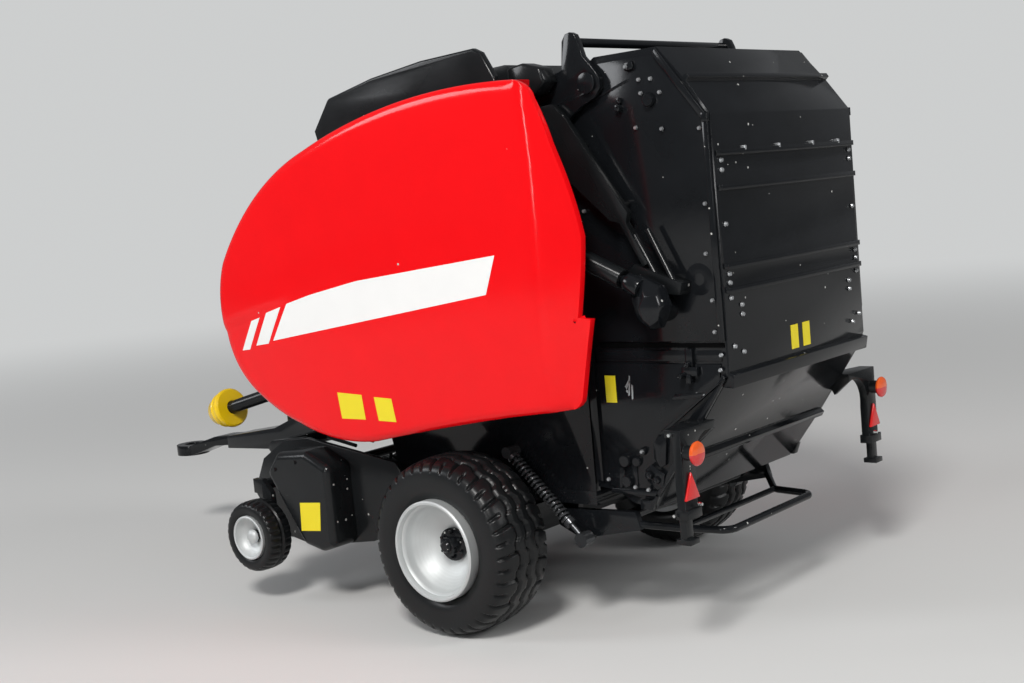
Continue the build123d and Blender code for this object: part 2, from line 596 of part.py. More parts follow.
def gauge_arm():
    """Crank from the side plate to the gauge wheel's pin."""
    inner = GAUGE_Y - GAUGE_W / 2
    arm = plate([(46.0, 19.6), (48.4, 19.6), (48.4, 11.6), (45.6, 11.6)], inner - 1.4, inner - GAP)
    arm += cross_bar(49.4, 20.6, PICKUP_Y + 1.0, inner - 1.4, 1.0)
    arm += plate([(46.0, 19.6), (48.2, 22.0), (50.6, 22.0), (50.6, 19.4), (48.4, 19.2)],
                 inner - 1.4, inner - GAP)
    arm += cross_bar(GAUGE_X, GAUGE_Z, inner - 1.4, GAUGE_Y + 1.3, GAUGE_PIN_R)
    arm += cross_bar(GAUGE_X, GAUGE_Z, inner - GAP, GAUGE_Y - 0.5 - FIT, 1.5)
    arm += cross_bar(GAUGE_X, GAUGE_Z, GAUGE_Y + 0.9 + FIT, GAUGE_Y + 1.5, 1.2)
    return arm


def wind_guard():
    """Roller and bent tines over the pickup's mouth."""
    guard = cross_bar(50.0, 26.8, -PICKUP_Y + 0.4, PICKUP_Y - 0.4, 1.3)
    for index in range(-5, 6):
        y = index * GUARD_PITCH
        guard += rod((50.0, y, 26.8), (41.0, y, 25.2), 0.35)
    arm = plate([(50.0, 28.2), (51.2, 26.8), (50.0, 25.4), (41.0, 28.4), (41.0, 29.2)],
                PICKUP_Y - 1.2, PICKUP_Y - 0.05)
    return guard + both_sides(arm)


def pickup_reel():
    """Drum with rows of tines that pass between the stripper bands."""
    reel = cross_bar(REEL_X, REEL_Z, -PICKUP_Y + GAP, PICKUP_Y - GAP, REEL_DRUM_R)
    count = int((PICKUP_Y - GAP) / TINE_PITCH - 0.5)
    for index in range(-count - 1, count + 1):
        y = (index + 0.5) * TINE_PITCH
        for row in range(TINE_ROWS):
            angle = math.radians(360 / TINE_ROWS * row + 20)
            tip = (REEL_X + REEL_R * math.cos(angle), y, REEL_Z + REEL_R * math.sin(angle))
            reel += rod((REEL_X, y, REEL_Z), tip, 0.35)
    return reel


# ---------------------------------------------------------------- assembly
def all_nodes():
    nodes = {
        "main_frame": main_frame(), "axle": axle(), "drawbar": drawbar(), "tow_eye": tow_eye(),
        "chamber_front": chamber_front(), "chamber_rollers": chamber_rollers(), "hood": hood(),
        "top_bar": top_bar(), "tailgate_shell": tailgate_shell(),
        "ramp_frame": ramp(), "pickup_frame": pickup_frame(), "wind_guard": wind_guard(),
        "pickup_reel": pickup_reel(),
    }
    nodes.update(jack())
    nodes.update(driveline())
    nodes.update(wheels())
    nodes.update(lamps())
    nodes.update(lift_cylinder())
    for name, shape in (
            ("chamber_wall", chamber_wall()), ("side_panel", side_panel()),
            ("valve_box", valve_box()), ("hood_side", hood_side()),
            ("tension_arm", tension_arm()), ("light_bracket", light_bracket()),
            ("ramp_spring", ramp_spring()), ("pickup_cover", pickup_cover()),
            ("gauge_arm", gauge_arm())):
        nodes.update(left_right(name, shape))
    return nodes


def export(nodes):
    os.makedirs("parts", exist_ok=True)
    for name, shape in nodes.items():
        export_step(Pos(AXLE_X, 0, 0) * shape, os.path.join("parts", name + ".step"))


export(all_nodes())
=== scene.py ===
"""Round baler, 1:32 scale model: the looks of every piece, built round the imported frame.

Places, outlines and sections are in millimetres from the axle; what goes to a modifier, a node
tree or a material is in metres.
"""
import functools
import json
import math

import bmesh
import bpy
import numpy as np
from mathutils import Matrix, Vector

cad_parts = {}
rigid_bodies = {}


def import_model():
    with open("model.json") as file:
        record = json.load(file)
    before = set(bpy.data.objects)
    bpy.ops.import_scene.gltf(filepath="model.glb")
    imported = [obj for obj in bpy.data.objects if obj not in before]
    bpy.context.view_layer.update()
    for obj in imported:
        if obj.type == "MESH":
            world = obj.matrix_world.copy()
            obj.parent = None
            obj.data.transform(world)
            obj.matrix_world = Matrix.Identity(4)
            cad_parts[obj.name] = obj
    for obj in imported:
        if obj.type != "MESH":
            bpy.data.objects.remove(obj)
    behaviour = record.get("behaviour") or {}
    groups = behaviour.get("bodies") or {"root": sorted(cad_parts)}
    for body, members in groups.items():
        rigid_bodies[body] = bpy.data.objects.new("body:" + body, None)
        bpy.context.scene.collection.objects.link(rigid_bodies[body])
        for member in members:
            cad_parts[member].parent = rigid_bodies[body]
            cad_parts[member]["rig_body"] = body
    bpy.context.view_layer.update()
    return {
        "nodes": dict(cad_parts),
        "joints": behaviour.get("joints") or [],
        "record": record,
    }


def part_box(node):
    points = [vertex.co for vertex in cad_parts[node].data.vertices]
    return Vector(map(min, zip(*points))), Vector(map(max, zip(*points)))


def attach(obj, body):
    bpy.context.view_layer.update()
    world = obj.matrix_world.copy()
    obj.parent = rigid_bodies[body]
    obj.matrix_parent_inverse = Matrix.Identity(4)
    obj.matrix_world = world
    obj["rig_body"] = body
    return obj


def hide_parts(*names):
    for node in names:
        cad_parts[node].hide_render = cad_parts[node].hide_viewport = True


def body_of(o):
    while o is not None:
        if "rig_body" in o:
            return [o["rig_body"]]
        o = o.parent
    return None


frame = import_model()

bl_info = {
    "name": "Round Baler Model",
    "version": (1, 0, 0),
    "blender": (4, 5, 0),
    "location": "View3D > Sidebar > Baler",
    "description": "Dresses a round baler model's frame: enamel, tyres, sheets, bolts and lamps",
    "category": "Add Mesh",
}

NODES = frame["nodes"]
JOINTS = {joint["name"]: joint for joint in frame["joints"]}
NODE_SLOTS = {part["node"]: part["material_slot"] for part in frame["record"]["subparts"]}
SIDES = (("left", 1), ("right", -1))
MM = 0.001

AXLE = Vector(JOINTS["main_wheel_left_spin"]["pos_m"])
PANEL_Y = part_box("side_panel_left")[1].y / MM
WALL_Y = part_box("chamber_front")[1].y / MM + 1.2     # outer face of the tailgate's side
REAR_X = -47.2                                       # rear sheet of the tailgate, from the axle


def at(x, y, z):
    """Millimetres ahead of the axle, to the left and above the ground, as a place in the frame."""
    return Vector((AXLE.x + x * MM, y * MM, z * MM))


# ---------------- sizes and colours
def length(name, what, default):
    return bpy.props.FloatProperty(name=name, description=what, default=default, unit="LENGTH",
                                   precision=6, min=0.0)


def count(name, what, default):
    return bpy.props.IntProperty(name=name, description=what, default=default, min=1)


def colour(name, what, default):
    return bpy.props.FloatVectorProperty(name=name, description=what, default=default,
                                         subtype="COLOR", size=3, min=0.0, max=1.0)


class BalerSizes(bpy.types.PropertyGroup):
    edge: length("Edge", "Width of the soft edge on pressed and cast pieces", 0.00018)
    sheet: length("Sheet", "How far a lapped sheet stands off the sheet below", 0.00030)
    bolt_radius: length("Bolt radius", "Radius of a bolt head", 0.00042)
    bolt_height: length("Bolt height", "Height of a bolt head", 0.00032)
    groove_depth: length("Groove depth", "Depth of the tread grooves of the main tyres", 0.00065)
    groove_width: length("Groove width", "Width of the tread grooves of the tyres", 0.00036)
    coil_wire: length("Coil wire", "Radius of the wire of a ramp spring", 0.00024)
    tread_pitches: count("Tread pitches", "How many times the tread repeats round a main tyre", 20)
    gauge_pitches: count("Gauge pitches", "How many times the tread repeats round a gauge tyre", 30)
    coil_turns: count("Coil turns", "Turns of a ramp spring", 17)


class BalerColours(bpy.types.PropertyGroup):
    red: colour("Red", "Enamel of the side panels", (0.800, 0.003, 0.006))
    black: colour("Black", "Enamel of the body", (0.0060, 0.0068, 0.0080))
    # Light grey: real wear on the bare places, and painted highlight on bolt heads and rib lugs,
    # whose glints it stands in for
    worn: colour("Worn enamel", "Bolt heads and bare places", (0.300, 0.310, 0.320))
    wire: colour("Spring wire", "Coils and rods of the ramp springs", (0.055, 0.058, 0.062))
    # Painted shade: near black, for the shade inside the seam between the tailgate's sheets
    gap: colour("Seam shade", "Shade inside the seams between sheets", (0.0015, 0.0016, 0.0018))
    moulded: colour("Moulded black", "Moulded plastic pieces", (0.0075, 0.0084, 0.0092))
    rubber: colour("Rubber", "Tyres", (0.0060, 0.0066, 0.0072))
    silver: colour("Silver", "Rims", (0.560, 0.580, 0.580))
    yellow: colour("Yellow", "Driveline guard", (0.870, 0.560, 0.006))
    sticker: colour("Sticker", "Blank stickers", (0.780, 0.640, 0.020))
    white: colour("White", "Band and stripes", (0.820, 0.820, 0.810))
    orange: colour("Orange", "Upper half of a tail lamp", (0.780, 0.105, 0.010))
    lamp_red: colour("Lamp red", "Lower half of a tail lamp, and triangles", (0.600, 0.012, 0.012))


# ---------------- node helpers
def new_tree(kind, name, inputs, outputs):
    """Empty tree with (name, type, default) inputs and (name, type) outputs."""
    tree = bpy.data.node_groups.new(name, kind)
    for label, socket_type, *default in inputs:
        socket = tree.interface.new_socket(name=label, in_out="INPUT",
                                           socket_type="NodeSocket" + socket_type)
        if default:
            socket.default_value = default[0]
    for label, socket_type in outputs:
        tree.interface.new_socket(name=label, in_out="OUTPUT",
                                  socket_type="NodeSocket" + socket_type)
    return tree, tree.nodes.new("NodeGroupInput").outputs, tree.nodes.new("NodeGroupOutput")


def feed(tree, target, inputs):
    """Each input of a node takes a link from a socket, or a plain value."""
    for key, value in inputs.items():
        if isinstance(value, bpy.types.NodeSocket):
            tree.links.new(value, target.inputs[key])
        else:
            target.inputs[key].default_value = value


def node(tree, kind, inputs=None, **settings):
    made = tree.nodes.new(kind)
    for name, value in settings.items():
        setattr(made, name, value)
    feed(tree, made, inputs or {})
    return made


def math_node(tree, operation, first, second, clamp=False):
    return node(tree, "ShaderNodeMath", {0: first, 1: second}, operation=operation,
                use_clamp=clamp).outputs[0]


def noise(tree, vector, scale, detail=3.0):
    return node(tree, "ShaderNodeTexNoise",
                {"Vector": vector, "Scale": scale, "Detail": detail}).outputs["Fac"]


def mixed(tree, share, first, second):
    """Colour from the first to the second, by a share from 0 to 1."""
    return node(tree, "ShaderNodeMix", {0: share, 6: first, 7: second},
                data_type="RGBA").outputs[2]


def bump(tree, height, distance, **below):
    return node(tree, "ShaderNodeBump",
                {"Height": height, "Distance": distance, **below}).outputs["Normal"]


def object_place(tree):
    return node(tree, "ShaderNodeTexCoord").outputs["Object"]


def plain_material(name):
    """Material with its tree and its shader."""
    material = bpy.data.materials.new(name)
    material.use_nodes = True
    return material, material.node_tree, material.node_tree.nodes["Principled BSDF"]


# ---------------- finishes
SPECK_SIZE = 0.20         # radius of the largest dust speck, in its cell
PATCH_SCALE = 70.0        # noise scale of the patches in which specks gather
PATCH_LEVEL = 0.47        # noise level above which they do
DUST = (0.46, 0.46, 0.44, 1)
WAVE_SCALE = 90.0         # noise scale of a surface's slow waves
WAVE_SHARE = 2.0          # height of the waves over that of the orange peel
SMEAR_SCALE = 160.0       # noise scale of its uneven gloss and tone
COAT_GLOSS = 0.05
RING_SCALE = 800.0        # turned rings on the rims
RING_SWAY = 0.6
RING_DEPTH = 0.000006
LENS_SWAY = 0.0004        # how far the line between a lamp's colours wanders
LENS_SCALE = 900.0
LENS_GLOSS, LENS_COAT = 0.22, 0.6


@functools.cache
def speck_group():
    """Small pale dust specks, gathered in patches."""
    tree, given, out = new_tree("ShaderNodeTree", "dust specks", [
        ("Vector", "Vector"), ("Scale", "Float", 900.0), ("Amount", "Float", 0.2)],
        [("Mask", "Float")])
    cells = node(tree, "ShaderNodeTexVoronoi",
                 {"Vector": given["Vector"], "Scale": given["Scale"]}).outputs
    pick = node(tree, "ShaderNodeSeparateColor", {0: cells["Color"]}).outputs
    chosen = math_node(tree, "LESS_THAN", pick[0], given["Amount"])
    size = math_node(tree, "MULTIPLY", pick[1], SPECK_SIZE)
    dot = math_node(tree, "LESS_THAN", cells["Distance"], size)
    patches = noise(tree, given["Vector"], PATCH_SCALE, 2.0)
    near = math_node(tree, "GREATER_THAN", patches, PATCH_LEVEL)
    mask = math_node(tree, "MULTIPLY", math_node(tree, "MULTIPLY", chosen, dot), near)
    feed(tree, out, {"Mask": mask})
    return tree


@functools.cache
def skin_group():
    """Orange peel and slow waves of a sprayed or moulded surface, and its uneven gloss."""
    tree, given, out = new_tree("ShaderNodeTree", "sprayed skin", [
        ("Vector", "Vector"), ("Peel", "Float", 700.0), ("Gloss", "Float", 0.2),
        ("Spread", "Float", 0.1)],
        [("Height", "Float"), ("Roughness", "Float"), ("Tone", "Float")])
    peel = noise(tree, given["Vector"], given["Peel"], 2.0)
    waves = noise(tree, given["Vector"], WAVE_SCALE, 2.0)
    height = math_node(tree, "ADD", peel, math_node(tree, "MULTIPLY", waves, WAVE_SHARE))
    smear = noise(tree, given["Vector"], SMEAR_SCALE, 4.0)
    offset = math_node(tree, "MULTIPLY", math_node(tree, "SUBTRACT", smear, 0.5),
                       given["Spread"])
    rough = math_node(tree, "ADD", given["Gloss"], offset, clamp=True)
    feed(tree, out, {"Height": height, "Roughness": rough, "Tone": smear})
    return tree


# finish: colour, gloss, gloss spread, peel scale, peel depth, coat, metallic, dust, tone, shine
RECIPES = {
    "red enamel": ("red", 0.13, 0.04, 420.0, 0.000005, 0.10, 0.0, 0.006, 0.05, 0.20),
    "black enamel": ("black", 0.13, 0.08, 700.0, 0.000007, 0.0, 0.0, 0.100, 0.55, 0.26),
    "moulded black": ("moulded", 0.22, 0.14, 900.0, 0.000010, 0.0, 0.0, 0.110, 0.60, 0.25),
    # light grey: wear on bare places, painted highlight on bolt heads and lugs
    "worn enamel": ("worn", 0.18, 0.10, 1600.0, 0.000004, 0.0, 0.5, 0.000, 0.50, 0.50),
    "spring wire": ("wire", 0.22, 0.10, 1600.0, 0.000004, 0.0, 0.5, 0.000, 0.50, 0.50),
    # painted shade of the seam
    "gap shade": ("gap", 0.60, 0.10, 900.0, 0.000004, 0.0, 0.0, 0.000, 0.20, 0.05),
    "soft rubber": ("rubber", 0.33, 0.14, 1500.0, 0.000010, 0.0, 0.0, 0.040, 0.60, 0.30),
    "silver paint": ("silver", 0.56, 0.10, 1300.0, 0.000008, 0.0, 0.60, 0.000, 0.20, 0.50),
    "bright steel": ("silver", 0.16, 0.08, 900.0, 0.000004, 0.0, 1.0, 0.000, 0.10, 0.50),
    "yellow plastic": ("yellow", 0.28, 0.10, 700.0, 0.000008, 0.3, 0.0, 0.010, 0.20, 0.40),
    "blank sticker": ("sticker", 0.35, 0.08, 800.0, 0.000004, 0.0, 0.0, 0.000, 0.10, 0.30),
    "white print": ("white", 0.24, 0.06, 500.0, 0.000004, 0.2, 0.0, 0.006, 0.05, 0.30),
    "red plastic": ("lamp_red", 0.22, 0.08, 900.0, 0.000004, 0.3, 0.0, 0.000, 0.15, 0.40),
}


@functools.cache
def finish(name):
    """Material of that name, made once."""
    key, gloss, spread, peel, depth, coat, metallic, dust, tone, shine = RECIPES[name]
    base = getattr(bpy.context.scene.baler_colours, key)
    material, tree, shader = plain_material(name)
    place = object_place(tree)
    skin = node(tree, "ShaderNodeGroup", node_tree=skin_group())
    feed(tree, skin, {"Vector": place, "Peel": peel, "Gloss": gloss, "Spread": spread})
    top = mixed(tree, skin.outputs["Tone"], (*[c * (1 - tone * 0.5) for c in base], 1),
                (*[min(1, c * (1 + tone)) for c in base], 1))
    if dust:
        specks = node(tree, "ShaderNodeGroup", node_tree=speck_group())
        feed(tree, specks, {"Vector": place, "Amount": dust})
        top = mixed(tree, specks.outputs["Mask"], top, DUST)
    feed(tree, shader, {
        "Base Color": top, "Roughness": skin.outputs["Roughness"],
        "Normal": bump(tree, skin.outputs["Height"], depth), "Metallic": metallic,
        "Specular IOR Level": shine, "Coat Weight": coat, "Coat Roughness": COAT_GLOSS})
    return material


@functools.cache
def turned_finish(kind):
    """Silver paint over turned metal, with fine rings round the wheel's axle."""
    x, _, z = JOINTS[f"{kind}_wheel_left_spin"]["pos_m"]
    material = finish("silver paint").copy()
    material.name = "turned silver " + kind
    tree = material.node_tree
    shader = tree.nodes["Principled BSDF"]
    skin = shader.inputs["Normal"].links[0].from_socket
    centred = node(tree, "ShaderNodeMapping",
                   {"Vector": object_place(tree), "Location": (-x, 0, -z)})
    rings = node(tree, "ShaderNodeTexWave", {
        "Vector": centred.outputs["Vector"], "Scale": RING_SCALE, "Distortion": RING_SWAY},
        wave_type="RINGS", rings_direction="Y")
    feed(tree, shader, {"Normal": bump(tree, rings.outputs["Fac"], RING_DEPTH, Normal=skin)})
    return material


@functools.cache
def lamp_finish():
    """Tail lamp: orange above, red below, parted just above the lens's middle."""
    colours = bpy.context.scene.baler_colours
    low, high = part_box("tail_lamp_left")
    material, tree, shader = plain_material("tail lamp")
    place = object_place(tree)
    height = node(tree, "ShaderNodeSeparateXYZ", {0: place}).outputs["Z"]
    wander = math_node(tree, "MULTIPLY", noise(tree, place, LENS_SCALE), LENS_SWAY)
    above = math_node(tree, "GREATER_THAN", math_node(tree, "ADD", height, wander),
                      (low.z + high.z + LENS_SWAY) / 2)
    feed(tree, shader, {"Roughness": LENS_GLOSS, "Coat Weight": LENS_COAT, "Base Color": mixed(
        tree, above, (*colours.lamp_red, 1), (*colours.orange, 1))})
    return material


# finish: material slot of the record
# material slot of a CAD node: its finish
NODE_FINISH = {"red_paint": "red enamel", "black_paint": "black enamel",
               "black_plastic": "moulded black", "dark_plastic": "moulded black",
               "tyre_rubber": "soft rubber", "silver_paint": "silver paint",
               "yellow_plastic": "yellow plastic", "reflector_red": "red plastic",
               "bright_rod": "moulded black"}


def node_finish(name):
    slot = NODE_SLOTS[name]
    return lamp_finish() if slot == "lamp_lens" else finish(NODE_FINISH[slot])


# ---------------- mesh helpers
SAME_PLACE = 0.000002     # corners of a CAD mesh this near are one
SAME_PLANE = 0.6          # faces that meet at fewer degrees than this are one
PITCH_WELD = 0.000004     # corners of two tread pitches this near are one
EDGE_ANGLE = 28           # edges that turn by more than so many degrees are softened


def dress(name, mesh, material, body, stands_for=(), sharp=35):
    """Object of the mesh with its finish, on its body, in place of the CAD nodes it replaces."""
    mesh.materials.clear()
    mesh.materials.append(material)
    mesh.shade_smooth()
    if sharp:
        mesh.set_sharp_from_angle(angle=math.radians(sharp))
    piece = bpy.data.objects.new(name, mesh)
    bpy.context.scene.collection.objects.link(piece)
    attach(piece, body)
    if stands_for:
        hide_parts(*stands_for)


def to_mesh(name, shape):
    mesh = bpy.data.meshes.new(name)
    shape.to_mesh(mesh)
    shape.free()
    return mesh


def closed_mesh(name, shape):
    bmesh.ops.recalc_face_normals(shape, faces=shape.faces)
    return to_mesh(name, shape)


def open_mesh(name, shape, sign):
    """Mesh of a sheet whose faces look to the left where sign is 1, to the right where it is -1."""
    bmesh.ops.recalc_face_normals(shape, faces=shape.faces)
    if sum(face.normal.y * face.calc_area() for face in shape.faces) * sign < 0:
        bmesh.ops.reverse_faces(shape, faces=shape.faces)
    return to_mesh(name, shape)


def evaluated(mesh, modify):
    """Mesh after the modifiers that modify() puts on an object of it."""
    holder = bpy.data.objects.new("holder", mesh)
    bpy.context.scene.collection.objects.link(holder)
    modify(holder)
    graph = bpy.context.evaluated_depsgraph_get()
    result = bpy.data.meshes.new_from_object(holder.evaluated_get(graph), depsgraph=graph)
    bpy.data.objects.remove(holder)
    return result


def add_bevel(holder, width, angle):
    bevel = holder.modifiers.new("edge", "BEVEL")
    bevel.width = width
    bevel.segments = 2
    bevel.limit_method = "ANGLE"
    bevel.angle_limit = math.radians(angle)


def bevelled(mesh, width):
    return evaluated(mesh, lambda holder: add_bevel(holder, width, EDGE_ANGLE))


def softened(name, width):
    """Copy of a CAD node with its edges softened."""
    shape = bmesh.new()
    shape.from_mesh(NODES[name].data)
    bmesh.ops.remove_doubles(shape, verts=shape.verts, dist=SAME_PLACE)
    bmesh.ops.dissolve_limit(shape, angle_limit=math.radians(SAME_PLANE), verts=shape.verts,
                             edges=shape.edges)
    return bevelled(to_mesh(name + "_soft", shape), width)


def bridge(shape, one, two):
    """Faces between two closed rings of as many corners."""
    for i in range(len(one)):
        j = (i + 1) % len(one)
        shape.faces.new((one[i], one[j], two[j], two[i]))


def add_prism(shape, points, y0, y1):
    """Plate with an (x, z) polygon in millimetres from the axle, between two widths."""
    near, far = ([shape.verts.new(at(x, y, z)) for x, z in points] for y in (y0, y1))
    shape.faces.new(near)
    shape.faces.new(reversed(far))
    for i in range(len(points)):
        j = (i + 1) % len(points)
        shape.faces.new((near[i], far[i], far[j], near[j]))


def add_lathe(shape, profile, centre, axis, segments, closed=False):
    """Turned piece: (distance along the axis, radius) points in millimetres."""
    axis = Vector(axis).normalized()
    side = axis.orthogonal().normalized()
    other = axis.cross(side)
    rings = []
    for along, radius in profile:
        middle = Vector(centre) + axis * along * MM
        if radius < 1e-6:
            rings.append([shape.verts.new(middle)])
            continue
        rings.append([
            shape.verts.new(middle + (side * math.cos(a) + other * math.sin(a)) * radius * MM)
            for a in (2 * math.pi * i / segments for i in range(segments))])
    pairs = list(zip(rings, rings[1:]))
    if closed:
        pairs.append((rings[-1], rings[0]))
    for one, two in pairs:
        for i in range(segments):
            j = (i + 1) % segments
            corners = [one[i % len(one)], one[j % len(one)], two[j % len(two)], two[i % len(two)]]
            unique = list(dict.fromkeys(corners))
            if len(unique) > 2:
                shape.faces.new(unique)


def add_rod(shape, reach, radius, centre, axis, segments):
    add_lathe(shape, [(0, 0), (0, radius), (reach, radius), (reach, 0)], centre, axis, segments)


def turned_piece(name, profile, centre, axis, segments, material, body, stands_for=(),
                 closed=False, sharp=35):
    shape = bmesh.new()
    add_lathe(shape, profile, centre, axis, segments, closed)
    dress(name, closed_mesh(name, shape), material, body, stands_for, sharp)


def plates(name, parts, material, body, edge=0.0):
    """Piece of flat plates: (x, z) outline, and the two widths between which each stands."""
    shape = bmesh.new()
    for outline, y0, y1 in parts:
        add_prism(shape, outline, y0, y1)
    mesh = closed_mesh(name, shape)
    dress(name, bevelled(mesh, edge) if edge else mesh, material, body)


# ---------------- geometry node trees
HEAD_TAPER = 0.72         # a bolt head's top radius, as a share of the one at its foot
COIL_STEPS, WIRE_SIDES = 14, 8     # corners of a coil's turn, and of its wire


def growth_tree(name, inputs):
    geometry = ("Geometry", "Geometry")
    return new_tree("GeometryNodeTree", name, [geometry, *inputs, ("Material", "Material")],
                    [geometry])


def close_tree(tree, geometry, given, out):
    """Realize Instances and Set Material at the end of a tree."""
    real = node(tree, "GeometryNodeRealizeInstances", {0: geometry})
    paint = node(tree, "GeometryNodeSetMaterial",
                 {"Geometry": real.outputs[0], "Material": given["Material"]})
    feed(tree, out, {0: paint.outputs[0]})
    return tree


@functools.cache
def bolt_tree():
    """A domed head on every point, turned to the point's outward direction."""
    tree, given, out = growth_tree("bolt heads", [
        ("Radius", "Float", 0.0004), ("Height", "Float", 0.0003), ("Sides", "Int", 6)])
    head = node(tree, "GeometryNodeMeshCone", {
        "Vertices": given["Sides"], "Radius Bottom": given["Radius"],
        "Radius Top": math_node(tree, "MULTIPLY", given["Radius"], HEAD_TAPER),
        "Depth": given["Height"]})
    outward = node(tree, "GeometryNodeInputNamedAttribute", {"Name": "outward"},
                   data_type="FLOAT_VECTOR")
    turn = node(tree, "FunctionNodeAlignRotationToVector",
                {"Vector": outward.outputs["Attribute"]}, axis="Z")
    points = node(tree, "GeometryNodeMeshToPoints", {"Mesh": given["Geometry"]})
    place = node(tree, "GeometryNodeInstanceOnPoints", {
        "Points": points.outputs[0], "Instance": head.outputs["Mesh"],
        "Rotation": turn.outputs[0]})
    return close_tree(tree, place.outputs[0], given, out)


@functools.cache
def ring_tree():
    """Copies of one tread pitch turned round the wheel's axle and joined into a tyre."""
    tree, given, out = growth_tree("tread ring", [("Pitches", "Int", 20), ("Centre", "Vector")])
    points = node(tree, "GeometryNodePoints",
                  {"Count": given["Pitches"], "Position": given["Centre"]})
    index = node(tree, "GeometryNodeInputIndex").outputs[0]
    share = math_node(tree, "DIVIDE", index, given["Pitches"])
    turn = node(tree, "ShaderNodeCombineXYZ",
                {"Y": math_node(tree, "MULTIPLY", share, 2 * math.pi)})
    place = node(tree, "GeometryNodeInstanceOnPoints", {
        "Points": points.outputs[0], "Instance": given["Geometry"], "Rotation": turn.outputs[0]})
    real = node(tree, "GeometryNodeRealizeInstances", {0: place.outputs[0]})
    weld = node(tree, "GeometryNodeMergeByDistance", {0: real.outputs[0], "Distance": PITCH_WELD})
    return close_tree(tree, weld.outputs[0], given, out)


@functools.cache
def coil_tree():
    """Spring wire along +Z, stood at a place and turned to its slant."""
    tree, given, out = growth_tree("coil", [
        ("Turns", "Float", 14.0), ("Radius", "Float", 0.0008), ("Wire", "Float", 0.0002),
        ("Length", "Float", 0.01), ("Start", "Vector"), ("Slant", "Float", 0.0)])
    spiral = node(tree, "GeometryNodeCurveSpiral", {
        "Resolution": COIL_STEPS, "Rotations": given["Turns"], "Start Radius": given["Radius"],
        "End Radius": given["Radius"], "Height": given["Length"]})
    wire = node(tree, "GeometryNodeCurvePrimitiveCircle",
                {"Resolution": WIRE_SIDES, "Radius": given["Wire"]})
    sweep = node(tree, "GeometryNodeCurveToMesh", {
        "Fill Caps": True, "Curve": spiral.outputs[0], "Profile Curve": wire.outputs[0]})
    turn = node(tree, "ShaderNodeCombineXYZ", {"Y": given["Slant"]})
    move = node(tree, "GeometryNodeTransform", {
        "Geometry": sweep.outputs[0], "Translation": given["Start"], "Rotation": turn.outputs[0]})
    return close_tree(tree, move.outputs[0], given, out)


def grown(tree, mesh, values):
    """Mesh that a node tree makes from a mesh, its named inputs set before it is evaluated."""
    sockets = {item.name: item.identifier for item in tree.interface.items_tree
               if item.in_out == "INPUT"}

    def modify(holder):
        nodes = holder.modifiers.new("nodes", "NODES")
        nodes.node_group = tree
        for name, value in values.items():
            nodes[sockets[name]] = value
    return evaluated(mesh, modify)


def bolts(name, body, heads, material, radius=None, height=None, sides=6):
    """Bolt heads on (place in millimetres, outward direction) pairs, as one piece."""
    sizes = bpy.context.scene.baler_sizes
    mesh = bpy.data.meshes.new(name + "_points")
    mesh.from_pydata([at(*place) for place, _ in heads], [], [])
    outward = mesh.attributes.new("outward", "FLOAT_VECTOR", "POINT")
    for item, (_, direction) in zip(outward.data, heads):
        item.vector = direction
    result = grown(bolt_tree(), mesh, {
        "Radius": radius or sizes.bolt_radius, "Height": height or sizes.bolt_height,
        "Sides": sides, "Material": material})
    dress(name, result, material, body)


# ---------------- side panels
# border of a side panel from its rear top corner forwards: (x, z) of each arc's start and middle
PANEL_BORDER = [
    (-21.4, 86.5), (4.5, 85.4), (25.2, 80.1), (40.6, 71.6), (49.0, 62.2), (50.8, 56.0),
    (50.3, 49.6), (48.0, 43.2), (43.0, 38.4), (38.0, 35.5), (32.5, 33.4), (22.8, 31.0),
    (14.0, 31.1), (-1.0, 33.8), (-16.0, 36.1), (-21.8, 36.8), (-26.4, 37.3), (-27.9, 37.9),
    (-28.5, 39.3), (-29.6, 45.2), (-30.6, 50.7), (-29.8, 50.85), (-29.0, 51.0), (-29.8, 56.9),
    (-30.3, 62.8), (-29.1, 69.9), (-27.2, 76.8), (-26.2, 80.2), (-25.0, 83.4), (-23.9, 85.5),
]
PANEL_ARCS = len(PANEL_BORDER) // 2
ROLLED_ARCS = 8           # so many of them, from the first on, have a rounded border
BORDER_STEP = 0.8         # spacing of the border's points
PANEL_MIDDLE = np.array((8.0, 58.0))
PANEL_ROLL = 1.6          # width of the rounded border
PANEL_DROP = 0.9          # how far the border turns in
PANEL_DEPTH = 6.0         # how far inwards the rolled border reaches
PANEL_WALL = 0.0009
PANEL_EDGE, PANEL_EDGE_ANGLE = 0.00022, 50
BULGE = 0.8               # how far the middle stands out past the border
BULGE_REACH = 20.0        # width over which it does
REAR_LIP = 1.1            # depth of the rear edge
CREASE_X = -24.2          # the fold before the rear strip
CREASE_LEAN = 0.1         # how far the fold leans forwards above CREASE_BEND
CREASE_BEND = 75.0
CREASE_ROUND = 0.12       # softness of the fold
STRIP_SLOPE = 0.60        # how steeply the strip behind the fold turns in
HEEL_DEPTH = 0.35         # the panel steps in below a slanting line at its front
HEEL_X, HEEL_Z, HEEL_SLOPE = 48.9, 50.6, 0.276     # a place on that line, and its slope
HEEL_EDGE = 0.25          # softness of the step
HEEL_START, HEEL_RISE = 30.0, 16.0                 # where the step begins, and grows to full
# the notch in the rear edge lies behind this x and between these heights
NOTCH_X, NOTCH_LOW, NOTCH_HIGH = -28.0, 46.0, 56.0
NOTCH_FADE = 0.07         # share of the panel over which its notch fades out inwards
# rings of the panel's mesh, as shares of its outline
RING_SCALES = [1.0, 0.997, 0.99, 0.98, 0.965, 0.95, 0.93, 0.91, *np.linspace(0.885, 0.04, 30)]
PRINT_STEPS, PRINT_ROWS = 24, 6     # faces along and across a printed patch
PRINT_LIFT = 0.04         # how far a printed patch stands off the panel
RIVET_X, RIVET_Z, RIVET_DROP, RIVET_RADIUS = 14.1, 36.6, 0.9, 0.00045


